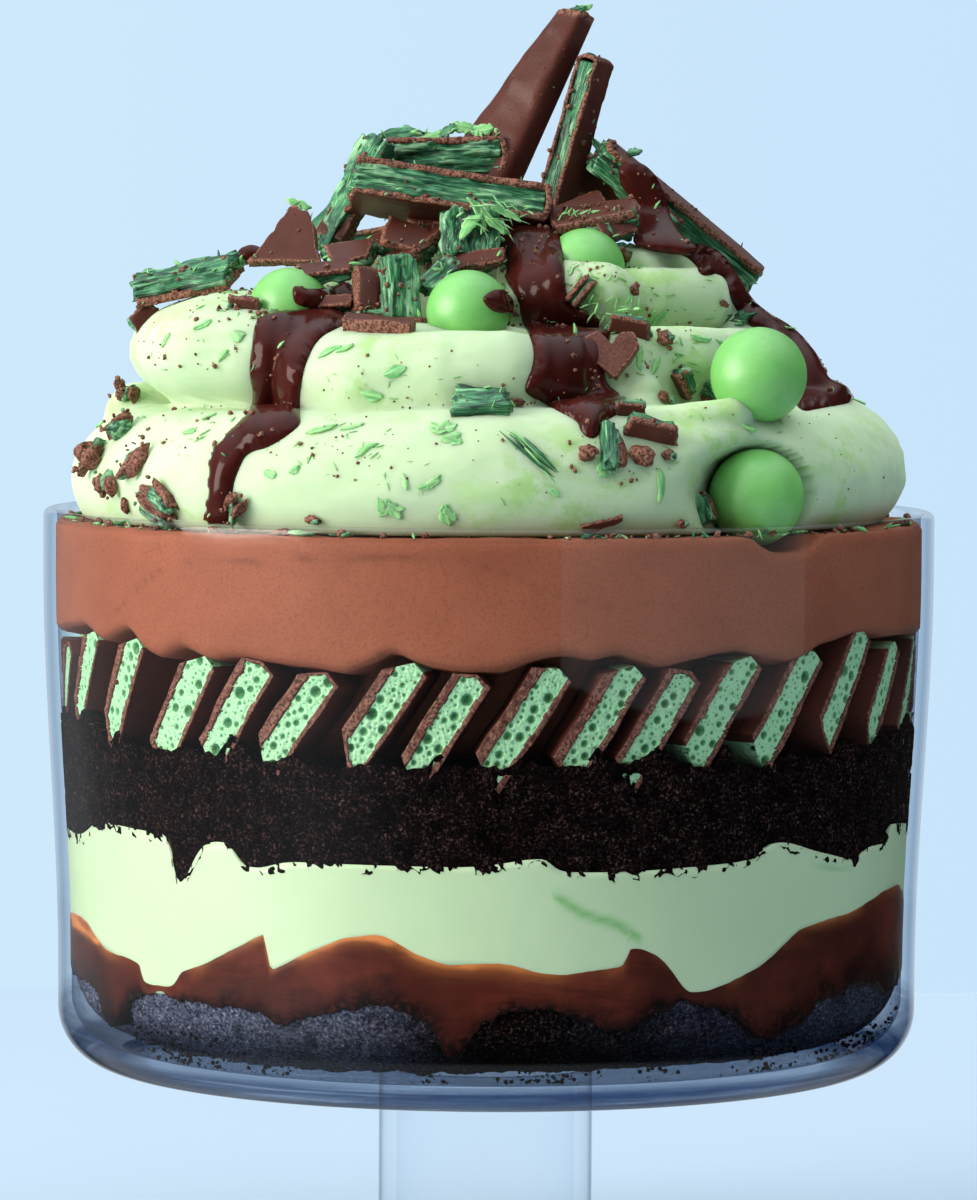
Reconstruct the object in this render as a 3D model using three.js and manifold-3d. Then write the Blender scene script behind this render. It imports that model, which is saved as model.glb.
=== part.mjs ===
// A layered trifle in its footed glass bowl. Millimetres, +Z up, origin at the centre of the foot's underside.
// The front of the dessert faces -Y. Angles round the bowl are in degrees from the front, growing towards +X.
import * as THREE from 'three';
import { mergeVertices } from 'three/addons/utils/BufferGeometryUtils.js';
import Module from 'manifold-3d';

const wasm = await Module();
wasm.setup();

// ---------------------------------------------------------------- driving sizes
const GAP = 0.3;              // clearance between neighbouring pieces

const BOWL = {
  height: 200, rimR: 112, baseR: 108.1, flareFrom: 85, flareTo: 185, wall: 3.4, lip: 1.7,
  underside: 60, floor: 66, outerFillet: 15, innerFillet: 12,
  stemR: 27, stemWall: 4.5, stemFillet: 3,
  footR: 70, footEdge: 4, footRise: 13, segments: 36,
};
const FILL = { samples: 80, clear: 0.75, mousseTop: 197.3, cakeTop: 143.5, ringDepth: 17, ringFloor: 166.5 };
const BAR = { length: 32, thick: 9.8, depth: 13, lean: 57, bottomCut: 6, topCut: 4.5 };

// Bumps on a layer's edge at the glass: [angle, height, width to the left, width to the right]
const CAKE_UNDERSIDE = { base: 118, bumps: [
  [-63.1, 4.6, 5.7, 16], [-44.7, -11.4, 1.4, 3.5], [-36, 5.1, 16, 1.7], [-31.4, -2, 13.9, 3.3], [7.1, 2.8, 6, 1.6],
  [15.8, -1.4, 13.1, 16], [41.2, 3.9, 3.6, 6.4], [58.3, -2.4, 5.7, 2.3], [70.4, 4.2, 0.9, 16],
  [108, -3, 9, 5], [131, 3.5, 7, 12], [163, -2.5, 10, 6], [196, 3.2, 12, 5], [228, -3.4, 6, 9], [252, 3, 8, 10]] };
const CARAMEL_TOP = { base: 98, bumps: [
  [-71.4, 3.1, 16, 5.1], [-53.7, 3.8, 7.8, 0.7], [-45.8, -14.3, 16, 16], [-44.4, 2.9, 1.2, 6.5], [-30.5, 10.2, 16, 0.7],
  [-14.4, 6.9, 11.5, 4.9], [8.3, -3.2, 3.9, 9.1], [19.1, 4, 0.7, 3.9], [27.9, -9, 3.1, 10.8], [47, 5.6, 5.3, 16],
  [73.5, 11.7, 16, 16], [104, -6, 6, 12], [127, 7, 14, 3], [149, -7, 4, 12], [176, 6, 16, 9], [203, -8, 7, 14],
  [231, 7, 13, 4], [255, -5, 5, 10]] };
const CRUMB_TOP = { base: 84, bumps: [
  [-62, -9, 4, 5], [-49, 1.8, 4, 4], [-28, -2.5, 5, 4], [-14, 1.6, 5, 5], [-4.5, -11, 2.4, 2.8], [7, 1.4, 4, 4], [17, -3, 5, 3],
  [28, 1.6, 4, 4], [42, -8, 7, 6], [60, 2, 6, 6], [74, -3, 5, 6], [101, 2, 8, 8], [122, -6, 5, 6], [150, -2, 6, 8],
  [178, -7, 4, 5], [210, -3, 8, 6], [236, -6, 5, 5], [262, 2, 8, 7]] };

// Mint bars standing round the glass: [angle, height of the middle, extra lean, extra thickness]
const FRONT_BARS = [
  [-68.3, 158, 2, -0.6], [-56.7, 157, 4, 0], [-44, 154.4, 1, 0.4], [-34.8, 154.5, -1, 0], [-26.1, 153, -4, 0.3],
  [-14.4, 155, -1, 0.2], [-6, 152.5, 1, -0.5], [4, 153.5, 0, 0], [14, 154, 1, -0.2], [21.8, 152.8, 1, -0.8],
  [31, 156, 1, -0.2], [41.8, 156.5, -1, 0], [53.5, 160, 1, -0.4], [64, 156.5, 1, -0.6], [76.5, 156, 2, -0.3]];
const BACK_BARS = 14;

// Whipped cream, spooned on in rounds: rings [x, y, z, ring radius, half width, half height, tilt towards +X, tilt towards -Y]
const CREAM = { foot: 197.6, eye: 198, blend: 4.0, around: 50, up: 14 };
// the hollow that the lowest ball sits in: two ends [x, y, z, radius], and how softly it meets the cream
const HOLLOW = { ends: [[64.4, -71, 206.2, 12.0], [62, -104, 206.6, 17.5]], soft: 5 };
const ROUNDS = [
  [0, 0, 208.5, 83, 21.5, 18.5, 1.5, 0],
  [-9, 1, 234.5, 52, 28, 13.5, -3.2, -1.0]];
// and dollops [x, y, z, half sizes along x, y, z]
const DOLLOPS = [
  [0, 0, 200, 88, 88, 45], [27, -4, 246, 28, 30, 15], [-14, 2, 247, 42, 36, 18], [-62, -22, 240, 27, 36, 15]];
// rolls where the spoon turned: blend, then places along each [x, y, z, radius]
const ROLLS = [
  [2.4, [[-41, -63, 231.5, 8], [-30, -69, 232.5, 10.8], [-12, -71.5, 233.5, 11.3], [3, -70, 234.5, 10.8], [14, -66, 235.2, 8.5]]],
  [2.4, [[22, -34, 251.5, 7.5], [38, -34, 252.3, 8.2], [51, -25, 252.8, 8.4], [54, -12, 253, 8]]],
  [2.4, [[26, -24, 259.5, 5.5], [38, -24, 260.5, 5.8], [47, -18, 259, 5.2], [50, -10, 258, 5]]],
  [2.4, [[17.5, -40, 255.2, 7.6], [28, -42, 254.8, 7.4]]],
  [2.4, [[16, -58, 234, 9.5], [32, -55, 237, 9.6], [47, -48, 238, 9.0], [58, -38, 238, 8.8], [63, -26, 238, 9]]],
  [2.4, [[30, -80, 220, 7], [46, -80, 214, 9.5], [50, -76, 207, 11]]],
  [3.5, [[60, -12, 238, 12.3], [68.5, -12, 232, 12], [74.5, -13, 226, 12], [80, -14, 219.5, 11.5]]],
  [3.0, [[9.5, -27, 262, 7.5], [11.5, -37, 250, 10]]],
  [2.4, [[-88, 10, 222, 9], [-60, 66, 222, 10], [-30, 84, 221, 8]]],
  [2.4, [[20, 62, 238, 11], [48, 44, 239, 11], [62, 20, 238, 9]]],
  [2.4, [[-50, 40, 243, 12], [-20, 52, 246, 12], [4, 50, 246, 9]]]];

// Coated balls: name, centre and radius
const BALLS = [
  ['ball_a', -49.2, -40, 250.6, 10.1], ['ball_b', -5.4, -57, 250.3, 10.1], ['ball_c', 23.2, -32, 260.7, 10],
  ['ball_d', 64.9, -66, 235.4, 11.7], ['ball_e', 64.4, -71.6, 206.2, 11.6], ['ball_f', 44, 60, 236.5, 11.2]];

// Broken mint pieces: name, two ends of the long axis, direction of the thickness, width, thickness, taper, end slant
const SHARDS = [
  ['piece_tall', [-6, -1, 277.5], [20.8, 4, 324.4], [-0.5, -0.83, 0.2], 21.6, 11.5, 0.4, -0.42],
  ['piece_tall_thin', [14.6, -4, 271], [26, -1, 312.5], [0.82, -0.42, -0.36], 12, 6.0, 0.85, -0.1],
  ['piece_right_long', [27, -4, 289.5], [66, -1, 257.8], [0.61, -0.12, 0.78], 14, 8.4, 0.9, 0.1],
  ['piece_right_back', [22.4, 4, 285.5], [34, 2.5, 279], [-0.30, -0.88, -0.36], 10, 5.0, 0.8, 0.3],
  ['piece_wide', [-34.2, -23, 281.2], [14.2, -21, 274.4], [-0.08, 0.3, 0.95], 17, 9.8, 0.95, 0.15],
  ['piece_wide_back', [-26.5, -1, 287.6], [4.0, -1, 288.4], [0.02, 0.14, 0.98], 15, 9.0, 0.85, 0.2],
  ['piece_left_lean', [-27.2, -8, 291.5], [-42.5, -13, 265], [-0.60, -0.72, 0.36], 9.0, 5.6, 1.05, 0.1],
  ['plate_left', [-50.5, -29, 261.5], [-46.8, -22, 274.6], [-0.3, -0.85, 0.36], 19, 3, 0.24, 0.2],
  ['plate_mid', [-13, -26, 270], [-23.5, -36, 262], [-0.5, -0.5, 0.7], 9, 3.6, 0.9, 0.2],
  ['chunk_mid', [-5.4, -34, 274.4], [-5.0, -38, 262.6], [0.2, -0.95, -0.2], 13, 8, 1.1, 0.1],
  ['piece_mid_right', [15.0, -27, 270.6], [36, -25, 274.6], [-0.15, -0.35, 0.92], 11, 5.2, 0.9, 0.15],
  ['stub_upright', [-22.6, -49, 263], [-21.4, -54, 247.7], [0.4, -0.9, -0.1], 8.4, 6, 0.95, 0.1],
  ['slab_far_left', [-87.8, -20, 254.4], [-63.6, -24, 260.0], [-0.2, -0.25, 0.95], 11, 6.2, 1.25, 0.2],
  ['chip_front', [-8.5, -87.5, 228.2], [4.2, -87.5, 228.6], [0, -0.6, 0.8], 9, 5.4, 0.85, 0.2],
  ['slab_back', [-38, 40, 262], [-8, 46, 268], [0.1, 0.5, 0.86], 16, 8, 0.9, 0.2],
  ['piece_back', [18, 34, 256], [26, 22, 282], [0.2, 0.95, 0.3], 14, 8, 0.8, 0.3]];
const CHIP = { name: 'chip_notched', at: [29.4, -67.5, 240.4], size: 7.2, thick: 2.4, face: [-0.12, -0.86, 0.5] };

// ---------------------------------------------------------------- small helpers
const rad = (deg) => deg * Math.PI / 180;
const polar = (r, deg, z) => [r * Math.sin(rad(deg)), -r * Math.cos(rad(deg)), z];
const smooth = (a, b, x) => { const t = Math.min(1, Math.max(0, (x - a) / (b - a))); return t * t * (3 - 2 * t); };
const turn = (a, b) => ((a - b + 540) % 360) - 180;                       // signed angle from b to a
function seeded(seed) { let s = seed >>> 0; return () => { s = (s * 1664525 + 1013904223) >>> 0; return s / 4294967296; }; }
const vec = (a) => new THREE.Vector3(...a);

function geometry(points, faces) {
  const g = new THREE.BufferGeometry();
  g.setAttribute('position', new THREE.Float32BufferAttribute(points.flat(), 3));
  g.setIndex(faces.flat());
  return g;
}
function solid(geo) {
  const g = geo.index ? geo.clone() : geo;
  for (const k of Object.keys(g.attributes)) if (k !== 'position') g.deleteAttribute(k);
  const m = mergeVertices(g, 1e-4);
  const index = [];
  for (let i = 0; i < m.index.count; i += 3) {
    const [a, b, c] = [m.index.getX(i), m.index.getX(i + 1), m.index.getX(i + 2)];
    if (a !== b && b !== c && a !== c) index.push(a, b, c);
  }
  return new wasm.Manifold(new wasm.Mesh({ numProp: 3, vertProperties: new Float32Array(m.attributes.position.array), triVerts: new Uint32Array(index) }));
}
function unsolid(man) {
  const m = man.getMesh();
  const g = new THREE.BufferGeometry();
  g.setAttribute('position', new THREE.BufferAttribute(new Float32Array(m.vertProperties), 3));
  g.setIndex(Array.from(m.triVerts));
  return g;
}
const largest = (man) => man.decompose().sort((a, b) => b.volume() - a.volume())[0];
const touching = (a, b) => {
  const p = a.boundingBox(), q = b.boundingBox();
  return [0, 1, 2].every((i) => p.min[i] < q.max[i] && q.min[i] < p.max[i]);
};
function carve(body, tools) {
  for (const t of tools) if (touching(body, t)) body = body.subtract(t);
  return largest(body.simplify(0.02));
}
const paint = (colour, roughness, metalness = 0) => new THREE.MeshStandardMaterial({ color: colour, roughness, metalness });
function mesh(name, geo, material) {
  const m = new THREE.Mesh(geo, material);
  m.name = name;
  return m;
}

// ---------------------------------------------------------------- glass
const outerR = (z) => BOWL.baseR + (BOWL.rimR - BOWL.baseR) * smooth(BOWL.flareFrom, BOWL.flareTo, z);
const innerR = (z) => {
  const wallR = outerR(z) - BOWL.wall;
  const lift = BOWL.floor + BOWL.innerFillet - z;
  return lift <= 0 ? wallR : wallR - BOWL.innerFillet + Math.sqrt(Math.max(0, BOWL.innerFillet ** 2 - lift ** 2));
};
function arc(cx, cz, r, from, to, steps) {
  const out = [];
  for (let i = 0; i <= steps; i++) { const a = rad(from + (to - from) * i / steps); out.push([cx + r * Math.cos(a), cz + r * Math.sin(a)]); }
  return out;
}
function bowlProfile() {
  const b = BOWL, rIn = innerR(b.floor + b.innerFillet), rOut = outerR(b.underside + b.outerFillet), hollow = b.stemR - b.stemWall;
  return [
    [0, b.floor],
    ...arc(rIn - b.innerFillet, b.floor + b.innerFillet, b.innerFillet, -90, 0, 3),
    ...[120, 160].map((z) => [innerR(z), z]),
    ...arc(b.rimR - b.lip, b.height - b.lip, b.lip, 180, 0, 4),
    ...[160, 120].map((z) => [outerR(z), z]),
    ...arc(rOut - b.outerFillet, b.underside + b.outerFillet, b.outerFillet, 0, -90, 2),
    ...arc(b.stemR + b.stemFillet, b.underside - b.stemFillet, b.stemFillet, 90, 180, 1),
    ...arc(b.stemR + b.footRise, b.footEdge + b.footRise, b.footRise, 180, 262, 2),
    [b.footR - 1, b.footEdge - 0.4], [b.footR, b.footEdge / 2], [b.footR - 1, 0],
    [hollow + 1, 0], [hollow, b.underside - 4], [hollow - 4, b.underside], [0, b.underside],
  ];
}
function revolve(profile, n) {                       // closed body from a profile that starts and ends on the axis
  const pts = [[0, 0, profile[0][1]]], faces = [], ring = [];
  for (let i = 1; i < profile.length - 1; i++) {
    ring.push(pts.length);
    for (let k = 0; k < n; k++) pts.push(polar(profile[i][0], 360 * k / n, profile[i][1]));
  }
  const last = pts.length;
  pts.push([0, 0, profile[profile.length - 1][1]]);
  for (let k = 0; k < n; k++) {
    const j = (k + 1) % n;
    faces.push([0, ring[0] + k, ring[0] + j]);
    for (let i = 0; i + 1 < ring.length; i++) {
      const [a, b, c, d] = [ring[i] + k, ring[i] + j, ring[i + 1] + j, ring[i + 1] + k];
      faces.push([a, c, b], [a, d, c]);
    }
    faces.push([last, ring[ring.length - 1] + j, ring[ring.length - 1] + k]);
  }
  return geometry(pts, faces);
}

// ---------------------------------------------------------------- fillings
const edge = (shape, deg) => shape.bumps.reduce((z, [at, h, l, r]) => { const d = turn(deg, at); return z + h * Math.exp(-((d / (d < 0 ? l : r)) ** 2)); }, shape.base);
const wave = (shape, deg, r) => {                    // an edge's waves die away towards the middle of the bowl
  const s = smooth(0.35, 0.95, r / 105);
  return shape.base + (edge(shape, deg) - shape.base) * s;
};
const fillR = (z) => innerR(z) - FILL.clear;

// A layer is a stack of rings: top middle, rings out to the glass, down the side, and back in to the bottom middle.
function layer(top, side, bottom) {
  const pts = [], faces = [], rings = [];
  const add = (ring) => {
    const n = ring.n, start = pts.length;
    for (let k = 0; k < n; k++) { const deg = 360 * k / n; pts.push(polar(ring.r(deg), deg, ring.z(deg))); }
    rings.push([start, n]);
  };
  [...top, ...side, ...bottom].forEach(add);
  const fan = (z, [start, n], up) => {
    const c = pts.push([0, 0, z]) - 1;
    for (let k = 0; k < n; k++) { const j = (k + 1) % n; faces.push(up ? [c, start + k, start + j] : [c, start + j, start + k]); }
  };
  for (let i = 0; i + 1 < rings.length; i++) {
    const [a, n] = rings[i], [b, m] = rings[i + 1];
    if (n === m) for (let k = 0; k < n; k++) { const j = (k + 1) % n; faces.push([a + k, b + j, a + j], [a + k, b + k, b + j]); }
    else if (m === 2 * n) for (let k = 0; k < n; k++) {
      const j = (k + 1) % n, p = b + 2 * k, q = p + 1, r = b + (2 * k + 2) % m;
      faces.push([a + k, p, q], [a + k, q, a + j], [a + j, q, r]);
    } else for (let k = 0; k < m; k++) {
      const j = (k + 1) % m, p = a + 2 * k, q = p + 1, r = a + (2 * k + 2) % n;
      faces.push([b + k, q, p], [b + k, b + j, q], [b + j, r, q]);
    }
  }
  fan(top.middle, rings[0], true);
  fan(bottom.middle, rings[rings.length - 1], false);
  return geometry(pts, faces);
}
const N = FILL.samples;
function faceRings(shape, shift, outwards) {         // the rings of one wavy face, from the middle out or the other way
  const at = (r) => ({ n: r > 60 ? (r > 85 ? N : N / 2) : N / 4, r: () => r, z: (deg) => wave(shape, deg, r) + shift });
  const rim = { n: N, r: (deg) => fillR(wave(shape, deg, 105) + shift), z: (deg) => wave(shape, deg, 105) + shift };
  const rings = [at(48), at(78), rim];
  if (!outwards) rings.reverse();
  rings.middle = shape.base + shift;
  return rings;
}
const flatRing = (r, z, n = N) => ({ n, r: () => r, z: () => z });

function cakeBase() {
  const corner = BOWL.floor + BOWL.innerFillet, side = [30, 60].map((a) => corner - BOWL.innerFillet * Math.sin(rad(a))).map((z) => flatRing(fillR(z), z));
  const bottom = [flatRing(innerR(BOWL.floor) - 1, BOWL.floor + GAP)];
  bottom.middle = BOWL.floor + GAP;
  return layer(faceRings(CRUMB_TOP, 0, true), side, bottom);
}
const caramel = () => layer(faceRings(CARAMEL_TOP, 0, true), [], faceRings(CRUMB_TOP, GAP, false));
const custard = () => layer(faceRings(CAKE_UNDERSIDE, 0, true), [], faceRings(CARAMEL_TOP, GAP, false));

const ringFloor = (deg) => FILL.ringFloor + 3 * (Math.min(Math.abs(turn(deg, 0)), 90) / 75) ** 2
  + bars.reduce((z, b) => { const d = turn(deg, b.deg + 2.2); return z + 4.4 * Math.exp(-((d / (d < 0 ? 3.4 : 2.4)) ** 2)); }, 0);
const cakeTop = (deg) => FILL.cakeTop + 3.5 * Math.exp(-((turn(deg, -68) / 12) ** 2)) + 0.8 * Math.sin(rad(7 * deg));
function cakeMid() {
  const top = [flatRing(48, FILL.cakeTop, N / 4), flatRing(78, FILL.cakeTop, N / 2),
    { n: N, r: (deg) => fillR(cakeTop(deg)), z: cakeTop }];
  top.middle = FILL.cakeTop;
  return layer(top, [], faceRings(CAKE_UNDERSIDE, GAP, false));
}
function mousse() {
  const z = FILL.mousseTop, inner = innerR(160) - FILL.ringDepth;
  const top = [flatRing(60, z, N / 2), flatRing(fillR(z), z)];
  top.middle = z;
  const bottom = [
    { n: N, r: (deg) => fillR(ringFloor(deg)), z: ringFloor },
    { n: N, r: () => inner, z: (deg) => ringFloor(deg) - 1.5 },
    flatRing(inner - 1, FILL.cakeTop + 1.2), flatRing(60, FILL.cakeTop + 1.2, N / 2)];
  bottom.middle = FILL.cakeTop + 1.2;
  return layer(top, [flatRing(fillR(184), 184)], bottom);
}

// ---------------------------------------------------------------- mint bars round the glass
const random = seeded(41);
const bars = FRONT_BARS.map(([deg, z, lean, thick]) => ({ deg, z, lean: BAR.lean + lean, thick: BAR.thick + thick }));
for (let i = 0; i < BACK_BARS; i++) {
  const deg = 90.5 + i * (360 - 90.5 - 80.5) / (BACK_BARS - 1);
  bars.push({ deg: deg + 2.2 * (random() - 0.5), z: 155 + 2.5 * (random() - 0.5), lean: BAR.lean + 5 * (random() - 0.5), thick: BAR.thick + 0.8 * (random() - 0.5) });
}
bars.forEach((b) => { b.bottomCut = BAR.bottomCut * (0.5 + random()); b.topCut = BAR.topCut * (0.5 + random()); b.length = BAR.length + 1.6 * (random() - 0.5); });

function bar(b, grow) {
  const h = b.length / 2 + grow, t = b.thick / 2 + grow, c = Math.cos(rad(b.lean)), s = Math.sin(rad(b.lean));
  const outline = [[-h + b.bottomCut, t], [-h + 0.3 * b.bottomCut, -0.1 * t], [-h, -t], [h - 1, -t], [h, -0.1 * t], [h - b.topCut, t]];
  const face = outline.map(([a, p]) => [a * c - p * s, b.z + a * s + p * c]);
  const R = innerR(155) - FILL.clear + grow, front = [], back = [];
  for (const [x, z] of face) {
    const deg = b.deg + x / R * 180 / Math.PI, p = polar(R + (innerR(z) - innerR(155)), deg, z);
    front.push(p);
    const d = polar(BAR.depth + 2 * grow, b.deg, 0);
    back.push([p[0] - d[0], p[1] - d[1], z]);
  }
  const n = face.length, faces = [];
  for (let k = 0; k < n; k++) { const j = (k + 1) % n; faces.push([k, n + j, j], [k, n + k, n + j]); }
  for (let k = 1; k + 1 < n; k++) faces.push([0, k, k + 1], [n, n + k + 1, n + k]);
  return geometry([...front, ...back], faces);
}

// ---------------------------------------------------------------- cream
function capsule(x, y, z, a, b) {                     // distance from a round bar whose radius changes from a to b
  const ab = [b[0] - a[0], b[1] - a[1], b[2] - a[2]], ap = [x - a[0], y - a[1], z - a[2]];
  const t = Math.min(1, Math.max(0, (ap[0] * ab[0] + ap[1] * ab[1] + ap[2] * ab[2]) / (ab[0] ** 2 + ab[1] ** 2 + ab[2] ** 2)));
  return Math.hypot(ap[0] - t * ab[0], ap[1] - t * ab[1], ap[2] - t * ab[2]) - (a[3] + (b[3] - a[3]) * t);
}
function creamField(x, y, z) {
  let near = Infinity;
  const join = (d, blend = CREAM.blend) => {
    const h = Math.max(blend - Math.abs(near - d), 0) / blend;
    near = near === Infinity ? d : Math.min(near, d) - h * h * blend / 4;
  };
  for (const [cx, cy, cz, R, w, h, tx, ty] of ROUNDS) {
    const dx = x - cx, dy = y - cy, r = Math.hypot(dx, dy), lift = cz + (tx * dx - ty * dy) / R;
    join((Math.hypot((r - R) / w, (z - lift) / h) - 1) * Math.min(w, h));
  }
  for (const [cx, cy, cz, a, b, c] of DOLLOPS) join((Math.hypot((x - cx) / a, (y - cy) / b, (z - cz) / c) - 1) * Math.min(a, b, c));
  for (const [blend, line] of ROLLS) join(Math.min(...line.slice(1).map((b, i) => capsule(x, y, z, line[i], b))), blend);
  const cut = -capsule(x, y, z, ...HOLLOW.ends), h = Math.max(HOLLOW.soft - Math.abs(near - cut), 0) / HOLLOW.soft;
  return Math.max(near, cut) + h * h * HOLLOW.soft / 4;
}
function creamReach(deg, up) {                       // how far the cream reaches along one direction from its eye
  const [dx, dy] = polar(Math.cos(up), deg, 0), dz = Math.sin(up);
  let far = 118;
  while (far > 5 && creamField(far * dx, far * dy, CREAM.eye + far * dz) > 0) far -= 1;
  let near = far, out = far + 1;
  for (let i = 0; i < 12; i++) { const mid = (near + out) / 2; if (creamField(mid * dx, mid * dy, CREAM.eye + mid * dz) > 0) out = mid; else near = mid; }
  return near;
}
function cream() {
  const pts = [], faces = [], n = CREAM.around, rings = [];
  for (let j = 0; j < CREAM.up; j++) {
    const up = Math.PI / 2 * (j / CREAM.up) ** 0.9;
    rings.push(pts.length);
    for (let k = 0; k < n; k++) {
      const deg = 360 * k / n, r = creamReach(deg, up);
      pts.push(polar(r * Math.cos(up), deg, CREAM.eye + r * Math.sin(up)));
    }
  }
  const top = pts.push([0, 0, CREAM.eye + creamReach(0, Math.PI / 2)]) - 1;
  const low = pts.length;
  for (let k = 0; k < n; k++) { const p = pts[k]; pts.push([p[0] * 0.985, p[1] * 0.985, CREAM.foot]); }
  const middle = pts.push([0, 0, CREAM.foot]) - 1;
  for (let k = 0; k < n; k++) {
    const j = (k + 1) % n;
    for (let i = 0; i + 1 < rings.length; i++) {
      const [a, b, c, d] = [rings[i] + k, rings[i] + j, rings[i + 1] + j, rings[i + 1] + k];
      faces.push([a, b, c], [a, c, d]);
    }
    const last = rings[rings.length - 1];
    faces.push([last + k, last + j, top], [k, low + j, j], [k, low + k, low + j], [middle, low + j, low + k]);
  }
  return geometry(pts, faces);
}

// ---------------------------------------------------------------- toppings
function shard([, from, to, face, width, thick, taper, slant], grow, seed) {
  const p = vec(from), u = vec(to).sub(p), length = u.length();
  u.normalize();
  const v = vec(face).normalize().cross(u).normalize(), w = u.clone().cross(v).normalize();
  const rnd = seeded(seed * 97 + 5), sections = 4, outline = [[-1, -0.8], [0.1, -1], [1, -0.85], [1, 0.8], [-0.1, 1], [-1, 0.85]];
  const pts = [], faces = [], n = outline.length;
  for (let i = 0; i < sections; i++) {
    const t = i / (sections - 1), scale = (1 + (taper - 1) * t) * (1 + 0.08 * (rnd() - 0.5)), shift = 0.05 * width * (rnd() - 0.5);
    for (const [a, b] of outline) {
      const across = shift + a * (width / 2 * scale * (1 + 0.1 * (rnd() - 0.5)) + grow), high = b * (thick / 2 + grow);
      const end = i === 0 ? -grow : i === sections - 1 ? grow : 0;
      const along = t * length + end + slant * across * (i === sections - 1 ? 1 : i === 0 ? -0.6 : 0) * 0.8;
      pts.push(p.clone().addScaledVector(u, along).addScaledVector(v, across).addScaledVector(w, high).toArray());
    }
  }
  for (let i = 0; i + 1 < sections; i++) for (let k = 0; k < n; k++) {
    const j = (k + 1) % n, a = i * n + k, b = i * n + j, c = a + n, d = b + n;
    faces.push([a, b, d], [a, d, c]);
  }
  const e = (sections - 1) * n;
  for (let k = 1; k + 1 < n; k++) faces.push([0, k + 1, k], [e, e + k, e + k + 1]);
  return geometry(pts, faces);
}
function notchedChip(grow) {
  const s = CHIP.size + grow, shape = new THREE.Shape();
  [[0, -1], [0.95, 0.02], [0.86, 0.62], [0.42, 0.7], [0.06, 0.3], [-0.3, 0.92], [-0.82, 0.8], [-0.98, 0.2]]
    .forEach(([x, y], i) => (i ? shape.lineTo(x * s, y * s) : shape.moveTo(x * s, y * s)));
  const g = new THREE.ExtrudeGeometry(shape, { depth: CHIP.thick + 2 * grow, bevelEnabled: false, steps: 1 });
  g.translate(0, 0, -CHIP.thick / 2 - grow);
  const z = vec(CHIP.face).normalize(), x = new THREE.Vector3(1, 0.1, 0.12).cross(z).cross(z).multiplyScalar(-1).normalize(), y = z.clone().cross(x);
  g.applyMatrix4(new THREE.Matrix4().makeBasis(x, y, z).setPosition(...CHIP.at));
  return g;
}
const ballGeometry = (r) => new THREE.SphereGeometry(r, 11, 7);

// ---------------------------------------------------------------- assembly
const trifle = new THREE.Group();
trifle.name = 'trifle';
const filling = new THREE.Group(), topping = new THREE.Group();
trifle.add(filling, topping);

trifle.add(mesh('glass_bowl', revolve(bowlProfile(), BOWL.segments), paint('#cfe4f4', 0.05)));

const barTools = bars.map((b) => solid(bar(b, GAP)));
const ballTools = BALLS.map(([, x, y, z, r]) => solid(ballGeometry(r + GAP).translate(x, y, z)));

filling.add(mesh('cake_base', cakeBase(), paint('#16110f', 0.95)));
filling.add(mesh('caramel', caramel(), paint('#5a2313', 0.45)));
filling.add(mesh('custard', custard(), paint('#c4dfb2', 0.5)));
filling.add(mesh('cake_mid', unsolid(carve(solid(cakeMid()), barTools)), paint('#120d0c', 0.95)));
filling.add(mesh('mousse', unsolid(carve(solid(mousse()), [...barTools, ...ballTools])), paint('#96593f', 0.6)));

bars.forEach((b, i) => {
  let body = solid(bar(b, 0));
  if (i > 0) body = carve(body, [barTools[i - 1], ...(i === bars.length - 1 ? [barTools[0]] : [])]);
  filling.add(mesh(`mint_bar_${String(i + 1).padStart(2, '0')}`, unsolid(body), paint('#7fb07a', 0.7)));
});

const taken = [...ballTools];
BALLS.forEach(([name, x, y, z, r]) => {
  const ball = mesh(name, ballGeometry(r), paint('#5fb84f', 0.25));
  ball.position.set(x, y, z);
  topping.add(ball);
});
[...SHARDS.map((s, i) => [s[0], (grow) => shard(s, grow, i)]), [CHIP.name, notchedChip]].forEach(([name, make]) => {
  const body = carve(solid(make(0)), taken);
  topping.add(mesh(name, unsolid(body), paint(name.startsWith('chip_n') || name.startsWith('plate') || name === 'piece_tall' ? '#6d4136' : '#4d6b45', 0.6)));
  taken.push(solid(make(GAP)));
});
topping.add(mesh('cream', unsolid(carve(solid(cream()), taken)), paint('#d5ecc4', 0.55)));

export default trifle;
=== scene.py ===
"""Looks of a layered mint and chocolate trifle in a footed glass bowl. Sizes are in millimetres here and go out in metres."""
import math
import bpy
import numpy as np
from mathutils import Matrix, Vector


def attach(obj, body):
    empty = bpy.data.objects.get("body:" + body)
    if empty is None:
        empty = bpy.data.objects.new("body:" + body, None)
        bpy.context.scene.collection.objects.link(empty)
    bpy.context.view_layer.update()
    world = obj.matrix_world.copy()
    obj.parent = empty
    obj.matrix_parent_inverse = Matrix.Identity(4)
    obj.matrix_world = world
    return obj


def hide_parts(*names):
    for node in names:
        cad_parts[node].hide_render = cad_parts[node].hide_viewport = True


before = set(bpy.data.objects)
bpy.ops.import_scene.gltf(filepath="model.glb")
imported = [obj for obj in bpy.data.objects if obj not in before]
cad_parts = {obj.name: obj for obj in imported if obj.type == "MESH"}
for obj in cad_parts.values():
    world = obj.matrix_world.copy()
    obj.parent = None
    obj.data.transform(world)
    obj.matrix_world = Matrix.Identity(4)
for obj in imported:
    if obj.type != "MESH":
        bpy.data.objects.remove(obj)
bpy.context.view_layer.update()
MM = 0.001
TAU = 2 * math.pi
ROOT = bpy.context.scene.collection


# ================================================================ small maths
def rng(seed):
    return np.random.default_rng(seed)


def smooth(a, b, x):
    t = np.clip((np.asarray(x, float) - a) / (b - a), 0, 1)
    return t * t * (3 - 2 * t)


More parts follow.
